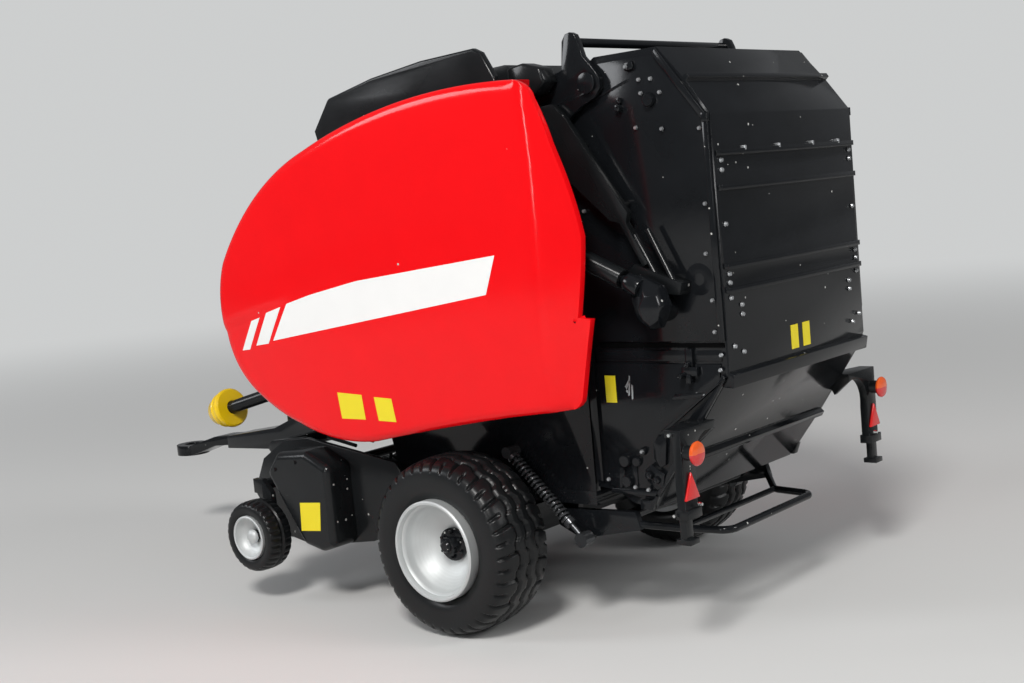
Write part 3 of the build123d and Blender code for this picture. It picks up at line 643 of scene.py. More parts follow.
def arc_points(start, middle, end, steps):
    """Points on the circle through three points, without the last one."""
    (ax, ay), (bx, by), (cx, cy) = start, middle, end
    cross = 2 * (ax * (by - cy) + bx * (cy - ay) + cx * (ay - by))
    if abs(cross) < 1.0:
        return [(ax + (cx - ax) * t / steps, ay + (cy - ay) * t / steps) for t in range(steps)]
    a2, b2, c2 = ax * ax + ay * ay, bx * bx + by * by, cx * cx + cy * cy
    ox = (a2 * (by - cy) + b2 * (cy - ay) + c2 * (ay - by)) / cross
    oy = (a2 * (cx - bx) + b2 * (ax - cx) + c2 * (bx - ax)) / cross
    radius = math.hypot(ax - ox, ay - oy)
    first, mid, last = (math.atan2(y - oy, x - ox) for x, y in (start, middle, end))
    turn = 2 * math.pi
    sweep = (last - first) % turn
    if (mid - first) % turn >= sweep:
        sweep -= turn
    return [(ox + radius * math.cos(first + sweep * t / steps),
             oy + radius * math.sin(first + sweep * t / steps)) for t in range(steps)]


def panel_outline(arcs):
    """Points of so many arcs of the border, without the last one's end."""
    points = []
    for k in range(0, 2 * arcs, 2):
        start, middle, end = (PANEL_BORDER[i % len(PANEL_BORDER)] for i in (k, k + 1, k + 2))
        steps = max(3, round(math.dist(start, end) / BORDER_STEP))
        points += arc_points(start, middle, end, steps)
    return np.array(points)


def rolled_border():
    return np.vstack((panel_outline(ROLLED_ARCS), PANEL_BORDER[2 * ROLLED_ARCS]))


def edge_distance(places, line):
    """Distance of each (x, z) place from an open line of points."""
    starts, along = line[:-1], line[1:] - line[:-1]
    gap = places[:, None, :] - starts[None]
    share = np.clip((gap * along[None]).sum(2) / (along ** 2).sum(1)[None], 0, 1)
    nearest = starts[None] + share[..., None] * along[None]
    return np.sqrt(((places[:, None, :] - nearest) ** 2).sum(2)).min(1)


def panel_height(places):
    """Width of the panel's outer face at each (x, z) place: bulge, border, rear strip, heel."""
    inset = edge_distance(places, rolled_border())
    near = 1 - np.minimum(inset, PANEL_ROLL) / PANEL_ROLL
    border_drop = PANEL_DROP * (1 - np.sqrt(np.maximum(0, 1 - near ** 2)))
    broad = BULGE * (1 - np.minimum(inset, BULGE_REACH) / BULGE_REACH) ** 2
    x, z = places[:, 0], places[:, 1]
    behind = CREASE_X + CREASE_LEAN * np.maximum(0, z - CREASE_BEND) - x
    fold = STRIP_SLOPE * (behind + np.sqrt(behind ** 2 + CREASE_ROUND)) / 2
    line = HEEL_Z + (HEEL_X - x) * HEEL_SLOPE
    below = 1 / (1 + np.exp(np.clip((z - line) / HEEL_EDGE, -40, 40)))
    heel = HEEL_DEPTH * below * np.clip((x - HEEL_START) / HEEL_RISE, 0, 1)
    return PANEL_Y - border_drop - broad - fold - heel


def panel_verts(shape, sign, places, widths):
    return [shape.verts.new(at(x, sign * y, z)) for (x, z), y in zip(places, widths)]


def red_panel(name, side, sign):
    border = panel_outline(PANEL_ARCS)
    rolled = len(rolled_border()) - 1
    notch = [i for i, (x, z) in enumerate(border) if x < NOTCH_X and NOTCH_LOW < z < NOTCH_HIGH]
    plain = border.copy()
    plain[notch] = np.linspace(border[notch[0]], border[notch[-1]], len(notch))
    depths = np.where(np.arange(len(border)) < rolled, PANEL_Y - PANEL_DEPTH,
                      panel_height(border) - REAR_LIP)
    shape = bmesh.new()
    rings = [panel_verts(shape, sign, border, depths)]
    for scale in RING_SCALES:
        blend = min(1.0, (1 - scale) / NOTCH_FADE)
        places = PANEL_MIDDLE + (border * (1 - blend) + plain * blend - PANEL_MIDDLE) * scale
        rings.append(panel_verts(shape, sign, places, panel_height(places)))
    for one, two in zip(rings, rings[1:]):
        bridge(shape, one, two)
    shape.faces.new(rings[-1])

    def modify(holder):
        wall = holder.modifiers.new("wall", "SOLIDIFY")
        wall.thickness = PANEL_WALL
        wall.offset = -1
        add_bevel(holder, PANEL_EDGE, PANEL_EDGE_ANGLE)
    dress(name, evaluated(open_mesh(name, shape, sign), modify), finish("red enamel"), "chassis",
          ["side_panel_" + side], sharp=50)


def between(a, b, share):
    return tuple(p + (q - p) * share for p, q in zip(a, b))


def place_along(points, share):
    """Place at a share of the way along a line of points."""
    spans = [math.dist(a, b) for a, b in zip(points, points[1:])]
    left = share * sum(spans)
    for a, b, span in zip(points, points[1:], spans):
        if left <= span or b == points[-1]:
            return between(a, b, left / span)
        left -= span


def printed(name, sign, low, high, material):
    """Printed patch between a lower and an upper line of (x, z) points, laid on the panel."""
    grid = [between(place_along(low, i / PRINT_STEPS), place_along(high, i / PRINT_STEPS),
                    j / PRINT_ROWS)
            for i in range(PRINT_STEPS + 1) for j in range(PRINT_ROWS + 1)]
    shape = bmesh.new()
    verts = panel_verts(shape, sign, grid, panel_height(np.array(grid)) + PRINT_LIFT)
    for i in range(PRINT_STEPS):
        for j in range(PRINT_ROWS):
            a = i * (PRINT_ROWS + 1) + j
            b = a + PRINT_ROWS + 1
            shape.faces.new((verts[a], verts[a + 1], verts[b + 1], verts[b]))
    dress(name, open_mesh(name, shape, sign), finish(material), "chassis", sharp=0)


# printed patches of a side panel: name, finish, lower line, upper line
PRINTS = [
    ("band", "white print", [(-14.2, 55.1), (36.1, 48.2)],
     [(-16.6, 61.0), (13.9, 58.0), (25.3, 56.0), (31.4, 54.6)]),
    ("stripe_rear", "white print", [(37.5, 47.7), (41.1, 47.3)], [(33.1, 54.1), (37.2, 53.1)]),
    ("stripe_front", "white print", [(43.1, 46.6), (45.4, 46.4)], [(39.2, 52.3), (41.7, 51.7)]),
    ("sticker_front", "blank sticker", [(15.2, 34.9), (20.9, 34.9)], [(15.4, 39.1), (21.2, 39.4)]),
    ("sticker_rear", "blank sticker", [(8.2, 34.7), (12.2, 34.8)], [(8.6, 38.6), (12.6, 38.8)]),
]


class BALER_OT_side_panels(bpy.types.Operator):
    """Red side panels with their white band, stripes, blank stickers and rivets"""
    bl_idname = "baler.side_panels"
    bl_label = "Side Panels"

    def execute(self, context):
        for side, sign in SIDES:
            red_panel("red_panel_" + side, side, sign)
            for part, material, low, high in PRINTS:
                printed(f"{part}_{side}", sign, low, high, material)
            rivet = ((RIVET_X, sign * (PANEL_Y - RIVET_DROP), RIVET_Z), (0, sign, 0))
            bolts("panel_rivet_" + side, "chassis", [rivet], finish("white print"),
                  radius=RIVET_RADIUS, sides=12)
        return {"FINISHED"}


# ---------------- tyres and rims
GROOVES = (-2.3, 0.0, 2.3)             # middles of a main tyre's wavy grooves
GROOVE_SWAY = 0.42
SLITS = ((0.0, 2.5), (0.5, 4.1))       # slits of a main tyre's shoulder: phase, where they start
SLIT_SLANT = 0.055                     # pitches by which a slit moves on over 1 mm
SLIT_MIDDLE = 4.2                      # width at which it stands at its own phase
SLIT_DEPTH, SLIT_WIDTH = 0.85, 1.05    # as shares of a groove's
GAUGE_SLIT_DEPTH = 0.7
MAIN_PITCH, GAUGE_PITCH = 4.6, 1.4     # length of a tread pitch


def smooth_profile(points, steps):
    """Catmull-Rom line through (y, radius) points."""
    path = [points[0]] + list(points) + [points[-1]]
    result = []
    for i in range(1, len(path) - 2):
        p0, p1, p2, p3 = (np.array(p, float) for p in path[i - 1:i + 3])
        for k in range(steps):
            t = k / steps
            result.append(0.5 * (2 * p1 + (p2 - p0) * t + (2 * p0 - 5 * p1 + 4 * p2 - p3) * t * t
                                 + (3 * p1 - p0 - 3 * p2 + p3) * t ** 3))
    result.append(np.array(points[-1], float))
    return result


def dip(distance, width):
    """Groove section: 1 in the middle, falling to 0 at the groove's edge."""
    return np.clip(1.6 * (1 - abs(distance) / width), 0, 1)


def wave(turn):
    """Rounded zigzag with a period of 1."""
    return math.sin(2 * math.pi * turn) + 0.18 * math.sin(6 * math.pi * turn)


def from_slit(turn, pitch):
    """Distance from the nearest slit, which stands at every whole turn."""
    return ((turn + 0.5) % 1.0 - 0.5) * pitch


def gate(out, start, rise, end, fall):
    """1 between a start and an end, with slopes inside both."""
    return np.clip((out - start) / rise, 0, 1) * np.clip((end - out) / fall, 0, 1)


def main_tread(turn, y, half, width):
    """Depth share of the tread at a place: wavy grooves in the middle, slits on the shoulders."""
    sway = GROOVE_SWAY * wave(turn)
    depth = max(0.0, *(dip(y - middle - sway, width) for middle in GROOVES))
    out = abs(y)
    lead = 0.0 if y > 0 else 0.5
    for phase, start in SLITS:
        across = from_slit(turn + lead + phase + SLIT_SLANT * (out - SLIT_MIDDLE), MAIN_PITCH)
        slit = SLIT_DEPTH * dip(across, width * SLIT_WIDTH)
        depth = max(depth, slit * gate(out, start, 0.3, half, 0.5))
    return depth


def gauge_tread(turn, y, half, width):
    """Depth share of a gauge tyre's tread: one groove, and slits to both sides."""
    across = from_slit(turn + (0.5 if y > 0 else 0.0), GAUGE_PITCH)
    slit = GAUGE_SLIT_DEPTH * dip(across, width) * gate(abs(y), 0.5, 0.3, half * 0.99, 0.4)
    return max(slit, dip(y, width))


def tyre_slice(profile, pitches, columns, tread, depth, width, crown):
    """One pitch of a tyre about its own axle; it has tread where its radius is past the crown."""
    half = max(y for y, _ in profile)
    line = smooth_profile(profile, 5)
    shape = bmesh.new()
    grid = []
    for i in range(columns + 1):
        turn = i / columns
        angle = 2 * math.pi * turn / pitches
        row = []
        for y, radius in line:
            cut = tread(turn, y, half, width) if radius > crown else 0.0
            reach = radius - depth * float(cut)
            row.append(shape.verts.new((math.sin(angle) * reach * MM, y * MM,
                                        math.cos(angle) * reach * MM)))
        grid.append(row)
    for one, two in zip(grid, grid[1:]):
        bridge(shape, one, two)
    return to_mesh("tread_pitch", shape)


def mirrored(points):
    """(y, other) points and their mirror images on the other side."""
    return points + [(-y, other) for y, other in reversed(points)]


# sections of the tyres and rims: (y, radius)
MAIN_TYRE = mirrored([
    (-4.9, 8.2), (-5.5, 8.7), (-5.95, 9.6), (-6.1, 10.8), (-6.1, 12.0), (-5.9, 13.0),
    (-5.3, 13.75), (-4.2, 14.2), (-2.6, 14.48), (-0.9, 14.58)])
GAUGE_TYRE = mirrored([
    (-2.0, 4.0), (-2.4, 4.3), (-2.6, 4.9), (-2.6, 5.5), (-2.3, 6.1), (-1.5, 6.4), (-0.4, 6.48)])
MAIN_RIM = [(6.75, 8.2), (6.95, 7.95), (6.9, 7.65), (6.5, 7.45), (6.1, 7.4), (5.9, 7.15),
            (5.5, 7.0), (4.8, 6.9), (4.4, 6.7), (3.6, 6.2), (2.4, 5.2), (1.7, 4.2), (1.4, 3.3),
            (1.3, 2.5), (0.9, 2.25), (-0.5, 2.25), (-0.6, 6.6), (-5.4, 7.3), (-5.6, 8.2),
            (0.0, 8.2)]
GAUGE_RIM = [(2.7, 4.0), (2.8, 3.8), (2.7, 3.55), (2.1, 3.4), (1.4, 3.0), (0.9, 2.2), (0.7, 1.3),
             (0.5, 1.0), (-0.4, 1.0), (-0.5, 3.0), (-2.2, 3.5), (-2.3, 4.0), (0.0, 4.0)]
# caps and studs: (distance from the wheel's middle, radius)
HUB_CAP = [(3.3, 1.0), (3.75, 0.95), (4.0, 0.7), (4.05, 0.0)]
GAUGE_CAP = [(1.4, 1.3), (1.7, 1.3), (2.0, 1.1), (2.2, 0.6), (2.25, 0.0)]
STUDS, STUD_CIRCLE, STUD_Y = 6, 2.15, 2.2
STUD_RADIUS, STUD_HEIGHT = 0.00034, 0.00040


class BALER_OT_tyres(bpy.types.Operator):
    """Main tyres with a wavy tread and slit shoulders, and gauge tyres"""
    bl_idname = "baler.tyres"
    bl_label = "Tyres"

    def execute(self, context):
        sizes = context.scene.baler_sizes
        rubber = finish("soft rubber")
        for side, _ in SIDES:
            # name, kind, section, pitches, columns of a pitch, tread, share of the depth, crown
            for name, kind, profile, pitches, columns, tread, share, crown in (
                    ("tread_tyre_", "main", MAIN_TYRE, sizes.tread_pitches, 30, main_tread,
                     1.0, 12.6),
                    ("tread_gauge_", "gauge", GAUGE_TYRE, sizes.gauge_pitches, 10, gauge_tread,
                     0.5, 5.8)):
                pitch = tyre_slice(profile, pitches, columns, tread,
                                   sizes.groove_depth * share / MM, sizes.groove_width / MM, crown)
                centre = tuple(JOINTS[f"{kind}_wheel_{side}_spin"]["pos_m"])
                ring = grown(ring_tree(), pitch, {
                    "Pitches": pitches, "Centre": centre, "Material": rubber})
                shape = bmesh.new()
                shape.from_mesh(ring)
                bmesh.ops.remove_doubles(shape, verts=shape.verts, dist=PITCH_WELD)
                dress(name + side, closed_mesh(name + side, shape), rubber, f"{kind}_wheel_{side}",
                      [f"{kind}_tyre_{side}"], sharp=60)
        return {"FINISHED"}


class BALER_OT_rims(bpy.types.Operator):
    """Silver rims with their lips, bowls and hubs, the hub caps and studs, the gauge caps"""
    bl_idname = "baler.rims"
    bl_label = "Rims"

    def execute(self, context):
        black = finish("moulded black")
        for side, sign in SIDES:
            outward = (0, sign, 0)
            hub, pin = (Vector(JOINTS[f"{kind}_wheel_{side}_spin"]["pos_m"])
                        for kind in ("main", "gauge"))
            for kind, profile, centre, segments in (("main", MAIN_RIM, hub, 96),
                                                    ("gauge", GAUGE_RIM, pin, 64)):
                turned_piece(f"{kind}_dish_{side}", profile, centre, outward, segments,
                             turned_finish(kind), f"{kind}_wheel_{side}",
                             [f"{kind}_rim_{side}"], closed=True, sharp=40)
            turned_piece("hub_cap_" + side, HUB_CAP, hub, outward, 24, black, "chassis")
            bolts("hub_studs_" + side, "chassis", [
                ((STUD_CIRCLE * math.cos(a), hub.y / MM + sign * STUD_Y,
                  hub.z / MM + STUD_CIRCLE * math.sin(a)), outward)
                for a in (math.radians(360 / STUDS * (i + 0.5)) for i in range(STUDS))],
                black, radius=STUD_RADIUS, height=STUD_HEIGHT)
            turned_piece("gauge_cap_" + side, GAUGE_CAP, pin, outward, 28,
                         finish("silver paint"), "pickup")
        return {"FINISHED"}


# ---------------- CAD pieces with softened edges
SOFT_NODES = ["main_frame", "axle", "drawbar", "tow_eye", "jack_sleeve", "jack_leg", "gearbox",
              "driveline_shaft", "chamber_front", "hood", "top_bar", "tailgate_shell",
              "ramp_frame", "pickup_frame", "wind_guard"]
SOFT_PAIRS = ["chamber_wall", "valve_box", "hood_side", "tension_arm", "light_bracket",
              "lift_barrel", "pickup_cover", "gauge_arm", "reflector"]
# soft edges of another width than the usual
EDGE_WIDTH = {"hood": 0.00045, "tailgate_shell": 0.00030, "pickup_cover": 0.00020,
              "valve_box": 0.0004, "light_bracket": 0.00025, "jack_leg": 0.0002,
              "hood_side": 0.0002}


def node_body(name):
    return body_of(NODES[name])[0]


class BALER_OT_bodywork(bpy.types.Operator):
    """Sheets, castings and arms: each with soft edges and its enamel or moulded finish"""
    bl_idname = "baler.bodywork"
    bl_label = "Bodywork"

    def execute(self, context):
        edge = context.scene.baler_sizes.edge
        names = [(name, name) for name in SOFT_NODES]
        names += [(f"{name}_{side}", name) for name in SOFT_PAIRS for side, _ in SIDES]
        for name, base in names:
            dress(name + "_soft", softened(name, EDGE_WIDTH.get(base, edge)), node_finish(name),
                  node_body(name), [name])
        return {"FINISHED"}


# tailgate cylinders: anchor and rod end on the axis, (x, z); width of their middle
LIFT_ANCHOR = (0.0, 71.5)
LIFT_END = (-38.65, 53.72)
LIFT_Y = 27.0
ROD_START = 6.0           # along the axis, from the anchor
ROD_R = 0.7
BARREL_R = 1.5
BARREL_L = 37.0
END_GAP = 2.0             # the rod stops so far short of its end's middle
ROD_EDGE = 0.00018
# the rod's tapered end: (x, z) outlines, and the widths at which they stand
END_FOOT = [(-36.2, 56.6), (-40.0, 54.75), (-41.0, 52.0), (-39.5, 48.7), (-37.75, 48.4),
            (-35.3, 50.0), (-34.5, 53.4)]
END_FACE = [(-38.3, 53.5), (-40.3, 53.6), (-40.9, 52.0), (-40.4, 50.1), (-38.9, 49.2),
            (-37.6, 50.2), (-37.2, 51.9)]
END_RINGS = ((END_FOOT, 25.45), (END_FOOT, 26.7), (END_FACE, 28.6))


class BALER_OT_lift_rods(bpy.types.Operator):
    """Rods of the tailgate cylinders, whose ends taper outwards to a small face"""
    bl_idname = "baler.lift_rods"
    bl_label = "Lift Rods"

    def execute(self, context):
        for side, sign in SIDES:
            foot, end = (at(x, sign * LIFT_Y, z) for x, z in (LIFT_ANCHOR, LIFT_END))
            stop = (end - foot).length / MM - END_GAP
            shape = bmesh.new()
            add_lathe(shape, [(ROD_START, 0.0), (ROD_START, ROD_R), (BARREL_L + 0.7, ROD_R),
                              (BARREL_L + 0.8, BARREL_R * 0.9), (BARREL_L + 1.1, BARREL_R),
                              (stop, BARREL_R), (stop, 0.0)], foot, end - foot, 32)
            rings = [[shape.verts.new(at(x, sign * y, z)) for x, z in outline]
                     for outline, y in END_RINGS]
            for one, two in zip(rings, rings[1:]):
                bridge(shape, one, two)
            shape.faces.new(rings[0])
            shape.faces.new(rings[-1])
            name = "lift_rod_" + side
            dress("lift_rod_soft_" + side, bevelled(closed_mesh("rod", shape), ROD_EDGE),
                  finish("black enamel"), node_body(name), [name])
        return {"FINISHED"}


class BALER_OT_plain_nodes(bpy.types.Operator):
    """Finishes of the CAD nodes that stay as they are"""
    bl_idname = "baler.plain_nodes"
    bl_label = "Plain Nodes"

    def execute(self, context):
        for name, solid in NODES.items():
            if not solid.hide_render:
                solid.data.materials.clear()
                solid.data.materials.append(node_finish(name))
        return {"FINISHED"}


# ---------------- tailgate trim
def rectangle(x0, x1, z0, z1):
    return [(x0, z0), (x1, z0), (x1, z1), (x0, z1)]


# sheets and flanges on the side: (x, z) outline, reach in steps of a lapped sheet
TAILGATE_SHEETS = [
    ([(-22.6, 24.0), (-28.2, 22.0), (-32.0, 21.6), (-37.4, 28.8), (-45.4, 40.0),
      (-45.8, 42.6), (-22.6, 42.6)], 1.0),
    ([(-22.2, 46.0), (-46.0, 46.0), (-46.4, 78.6), (-42.6, 83.4), (-38.6, 88.2),
      (-28.0, 88.0), (-25.2, 86.4), (-22.2, 81.0)], 1.0),
    (rectangle(-23.0, -21.7, 24.0, 45.0), 2.2),
    (rectangle(-46.9, -46.0, 46.0, 78.2), 2.4),
    ([(-46.9, 78.4), (-46.0, 78.0), (-38.4, 88.0), (-38.9, 88.9)], 2.4),
]
# flat pieces on the side: (x, z) outline, reach
TAILGATE_PLATES = [
    (rectangle(-46.0, -22.4, 43.0, 44.6), 0.12),
    (rectangle(-47.0, -46.0, 77.6, 78.9), 0.9),
    ([(-46.9, 40.8), (-46.2, 40.2), (-34.3, 31.4), (-35.0, 32.6)], 1.0),
    ([(-31.4, 20.5), (-31.9, 20.5), (-38.2, 28.6), (-46.6, 40.4), (-46.2, 41.2), (-37.6, 29.4)],
     0.7),
    # latch blocks
    (rectangle(-42.3, -39.6, 41.0, 42.3), 1.3),
    (rectangle(-41.4, -40.2, 42.3, 45.0), 1.0),
    (rectangle(-41.2, -40.4, 39.9, 41.2), 1.5),
    # brackets and tabs
    ([(-31.3, 26.3), (-32.5, 27.2), (-34.8, 25.8), (-34.4, 23.9), (-33.3, 23.3), (-31.6, 24.6)],
     0.9),
    ([(-33.2, 28.2), (-33.3, 30.4), (-34.3, 31.9), (-35.8, 32.2), (-35.2, 27.3), (-34.3, 26.8)],
     1.0),
    ([(-25.4, 22.8), (-26.2, 26.2), (-27.2, 26.0), (-26.3, 22.8)], 0.45),
    ([(-28.4, 22.6), (-28.6, 26.9), (-29.5, 26.9), (-29.4, 22.4)], 0.45),
    ([(-30.2, 20.2), (-30.2, 21.6), (-32.2, 21.6), (-33.2, 22.2), (-32.4, 20.2)], 1.3),
    ([(-24.3, 22.3), (-24.6, 23.0), (-33.0, 23.0), (-33.3, 22.2)], 0.7),
    ([(-22.0, 80.9), (-22.1, 81.3), (-33.6, 85.2), (-33.6, 84.8)], 0.42),
    ([(-33.4, 86.3), (-33.4, 87.4), (-34.9, 87.6), (-34.9, 86.5)], 0.8),
    ([(-36.9, 37.2), (-42.0, 37.5), (-42.6, 38.4), (-37.5, 38.1)], 0.42),
    (rectangle(-23.6, -21.9, 62.0, 63.0), 0.7),
]
# round bosses on the side: x, z, reach, radius
TAILGATE_BOSSES = [
    (-43.3, 55.1, 0.3, 2.9), (-27.6, 27.5, 1.2, 1.05), (-29.6, 27.4, 0.8, 0.8),
    (-27.7, 24.3, 1.2, 1.0), (-31.0, 29.1, 0.8, 0.6), (-32.2, 25.6, 1.5, 0.7),
    (-33.5, 24.9, 1.5, 0.6), (-37.2, 81.7, 1.2, 1.05), (-31.8, 81.0, 1.3, 0.6),
    (-31.9, 82.1, 0.9, 0.5), (-40.8, 42.7, 1.8, 0.5), (-39.6, 41.0, 2.0, 0.45),
]
# domed section of a boss, as shares of its reach and of its radius
BOSS_SECTION = [(0, 1), (0.75, 1), (1, 0.82), (1.05, 0.45), (0.9, 0)]
# bolt heads on the side: x, z, height of their seat
TAILGATE_BOLTS = [
    (-33.7, 86.9, 0.85), (-35.6, 84.8, 0.45), (-37.7, 84.7, 0.45), (-35.8, 82.8, 0.45),
    (-39.1, 82.6, 0.45), (-39.1, 77.3, 0.6), (-34.4, 77.9, 0.4), (-31.0, 29.1, 0.85),
    (-45.4, 47.4, 0.45), (-45.4, 52.0, 0.45), (-45.4, 66.0, 0.45), (-45.4, 76.8, 0.45),
    (-24.2, 24.4, 0.75), (-44.9, 58.8, 0.45), (-46.2, 44.0, 0.5), (-45.9, 41.8, 0.5),
    (-24.0, 70.3, 0.45), (-23.6, 66.2, 0.45), (-29.0, 23.4, 0.5), (-31.6, 23.2, 0.75),
]
# bolt heads on the upper rear slope, (x, z), their width, and the way the slope faces
SLOPE_BOLTS = [(-40.2, 86.4), (-44.4, 81.2)]
SLOPE_Y = 20.5
SLOPE_NORMAL = (-0.78, 0, 0.63)
# bolt heads on the rear sheet: (y, z)
REAR_BOLTS = mirrored([
    (19.7, 72.0), (19.7, 70.6), (19.7, 62.8), (19.7, 55.6), (19.7, 54.3), (19.7, 52.1),
    (19.7, 45.0), (16.9, 50.8), (16.9, 49.4), (17.3, 43.9)])
# bare places on the side, as (x, z) outlines
SCRATCHES = [
    [(-28.9, 37.6), (-29.2, 37.7), (-29.5, 40.6), (-29.3, 40.8)],
    [(-29.5, 37.0), (-29.8, 37.2), (-29.9, 39.2), (-29.6, 39.4)],
    [(-28.4, 39.0), (-28.7, 38.6), (-29.4, 39.8), (-29.2, 40.2)],
    [(-28.6, 38.2), (-28.9, 38.0), (-28.9, 38.5), (-28.6, 38.6)],
    [(-41.2, 38.1), (-43.0, 37.9), (-43.0, 38.1), (-41.2, 38.4)],
]
SCRATCH_LIFT = 0.02       # how far a bare place stands off the sheet
SHEET_EDGE, LUG_EDGE = 0.00012, 0.00010
SIDE_BOLT, REAR_BOLT, LAMP_BOLT = 0.00036, 0.00040, 0.00035      # radii
LAMP_BOLT_HEIGHT = 0.00060
STICKER_LIFT = 0.06
# near-black strip of painted shade along the seam under the upper side sheet
SEAM_SHADE = rectangle(-46.6, -24.2, 45.05, 45.7)
SIDE_STICKER = rectangle(-26.7, -24.7, 36.5, 40.7)
REAR_STICKER = rectangle(REAR_X - STICKER_LIFT, REAR_X, 42.2, 45.9)
REAR_STICKER_Y = ((0.8, 3.0), (-2.9, -0.7))
# the lugs are in the light grey enamel, which paints their highlights
RIB_LUG = rectangle(REAR_X - 0.75, REAR_X + 0.1, 73.2, 73.9)
RIB_LUG_Y = (13.5, 3.5, -7.0, -15.5)     # tabs on the uppermost rib of the rear sheet
LUG_HALF = 0.25


class BALER_OT_tailgate_trim(bpy.types.Operator):
    """Sheets, flanges, latch, bosses, painted seam shade, stickers, scratches, lugs and bolts of
    the tailgate; the light grey of bolt heads and lugs is painted highlight
    """
    bl_idname = "baler.tailgate_trim"
    bl_label = "Tailgate Trim"

    def execute(self, context):
        lap = context.scene.baler_sizes.sheet / MM
        black, worn, sticker = (finish(name) for name in (
            "black enamel", "worn enamel", "blank sticker"))
        for side, sign in SIDES:
            def out(height):
                return sign * (WALL_Y + height)

            wall = out(0)
            sheets = [(outline, wall, out(lap * laps)) for outline, laps in TAILGATE_SHEETS]
            sheets += [(outline, wall, out(reach)) for outline, reach in TAILGATE_PLATES]
            plates("tailgate_sheets_" + side, sheets, black, "tailgate", SHEET_EDGE)
            shape = bmesh.new()
            for x, z, reach, radius in TAILGATE_BOSSES:
                add_lathe(shape, [(reach * y, radius * r) for y, r in BOSS_SECTION],
                          at(x, wall, z), (0, sign, 0), 28)
            dress("tailgate_bosses_" + side, closed_mesh("bosses", shape), black, "tailgate")
            heads = [((x, out(height), z), (0, sign, 0)) for x, z, height in TAILGATE_BOLTS]
            heads += [((x, sign * SLOPE_Y, z), SLOPE_NORMAL) for x, z in SLOPE_BOLTS]
            # bolt heads in light grey: painted highlight for their glints
            bolts("tailgate_side_bolts_" + side, "tailgate", heads, worn, radius=SIDE_BOLT)
            # The seam strip is painted shade in near black; the scratches are real wear, bare
            # places in the light grey enamel.
            for name, outlines, low, high, material in (
                    ("seam_", [SEAM_SHADE], 0, lap * 0.5, finish("gap shade")),
                    ("scratch_", SCRATCHES, lap, lap + SCRATCH_LIFT, worn),
                    ("tailgate_sticker_", [SIDE_STICKER], lap, lap + STICKER_LIFT, sticker)):
                plates(name + side, [(outline, out(low), out(high)) for outline in outlines],
                       material, "tailgate")
        plates("rear_stickers", [(REAR_STICKER, *ends) for ends in REAR_STICKER_Y], sticker,
               "tailgate")
        # rear bolt heads in light grey: painted highlight for their glints
        bolts("rear_bolts", "tailgate", [((REAR_X - 0.1, y, z), (-1, 0, 0)) for y, z in REAR_BOLTS],
              worn, radius=REAR_BOLT, sides=12)
        # lugs in light grey: painted highlight on the uppermost rib
        plates("rib_lugs", [(RIB_LUG, y - LUG_HALF, y + LUG_HALF) for y in RIB_LUG_Y], worn,
               "tailgate", LUG_EDGE)
        return {"FINISHED"}


# ---------------- springs, lamps, driveline, pickup
SPRING_Y = 22.9
SPRING_TOP, SPRING_BOTTOM = (-5.1, 28.0), (-19.0, 14.6)    # (x, z) of the rod's ends
COIL_RADIUS = 0.00082
COIL_START, COIL_SHORT = 0.0016, 0.0058    # bare rod before the coil, and in all
# discs on the spring's rod: where from an end, thickness, radius
TOP_DISC = (0.9, 0.6, 1.1)
BOTTOM_DISC = (4.0, 0.8, 1.0)
# pins through the rod's ends: width from, width to, radius
TOP_PIN = (21.2, 23.9, 0.95)
BOTTOM_PIN = (21.7, 23.9, 1.2)


class BALER_OT_springs(bpy.types.Operator):
    """Ramp springs: coils on their rods, with discs and pins"""
    bl_idname = "baler.springs"
    bl_label = "Springs"

    def execute(self, context):
        sizes = context.scene.baler_sizes
        material = finish("spring wire")
        for side, sign in SIDES:
            top, bottom = (at(x, sign * SPRING_Y, z) for x, z in (SPRING_TOP, SPRING_BOTTOM))
            line = bottom - top
            way, reach = line.normalized(), line.length / MM
            start = top + way * COIL_START
            empty = bpy.data.meshes.new("empty")
            empty.from_pydata([start], [], [])
            coil = grown(coil_tree(), empty, {
                "Turns": float(sizes.coil_turns), "Radius": COIL_RADIUS, "Wire": sizes.coil_wire,
                "Length": line.length - COIL_SHORT, "Start": tuple(start),
                "Slant": math.atan2(line.x, line.z), "Material": material})
            shape = bmesh.new()
            shape.from_mesh(coil)
            for near, thick, radius in ((0.0, reach, 0.42), TOP_DISC,
                                        (reach - BOTTOM_DISC[0], *BOTTOM_DISC[1:])):
                add_rod(shape, thick, radius, top + way * near * MM, way, 16)
            for place, (inner, outer, radius) in ((top, TOP_PIN), (bottom, BOTTOM_PIN)):
                add_rod(shape, outer - inner, radius, (place.x, sign * inner * MM, place.z),
                        (0, sign, 0), 20)
            dress("spring_" + side, closed_mesh("spring", shape), material, "chassis",
                  ["ramp_spring_" + side])
        return {"FINISHED"}


# domed section of a tail lamp, as shares of its depth and of its radius
LENS_SECTION = [(0, 0), (0, 0.95), (0.4, 1), (0.7, 0.92), (0.9, 0.62), (0.98, 0.3), (1, 0)]
# bolt heads beside the lamps: place on the left side, outward direction there
LAMP_BOLTS = [((-44.5, 28.0, 23.3), (-1, 0, 0)), ((-42.4, 30.9, 22.1), (0, 1, 0)),
              ((-42.4, 30.7, 33.8), (0, 1, 0))]


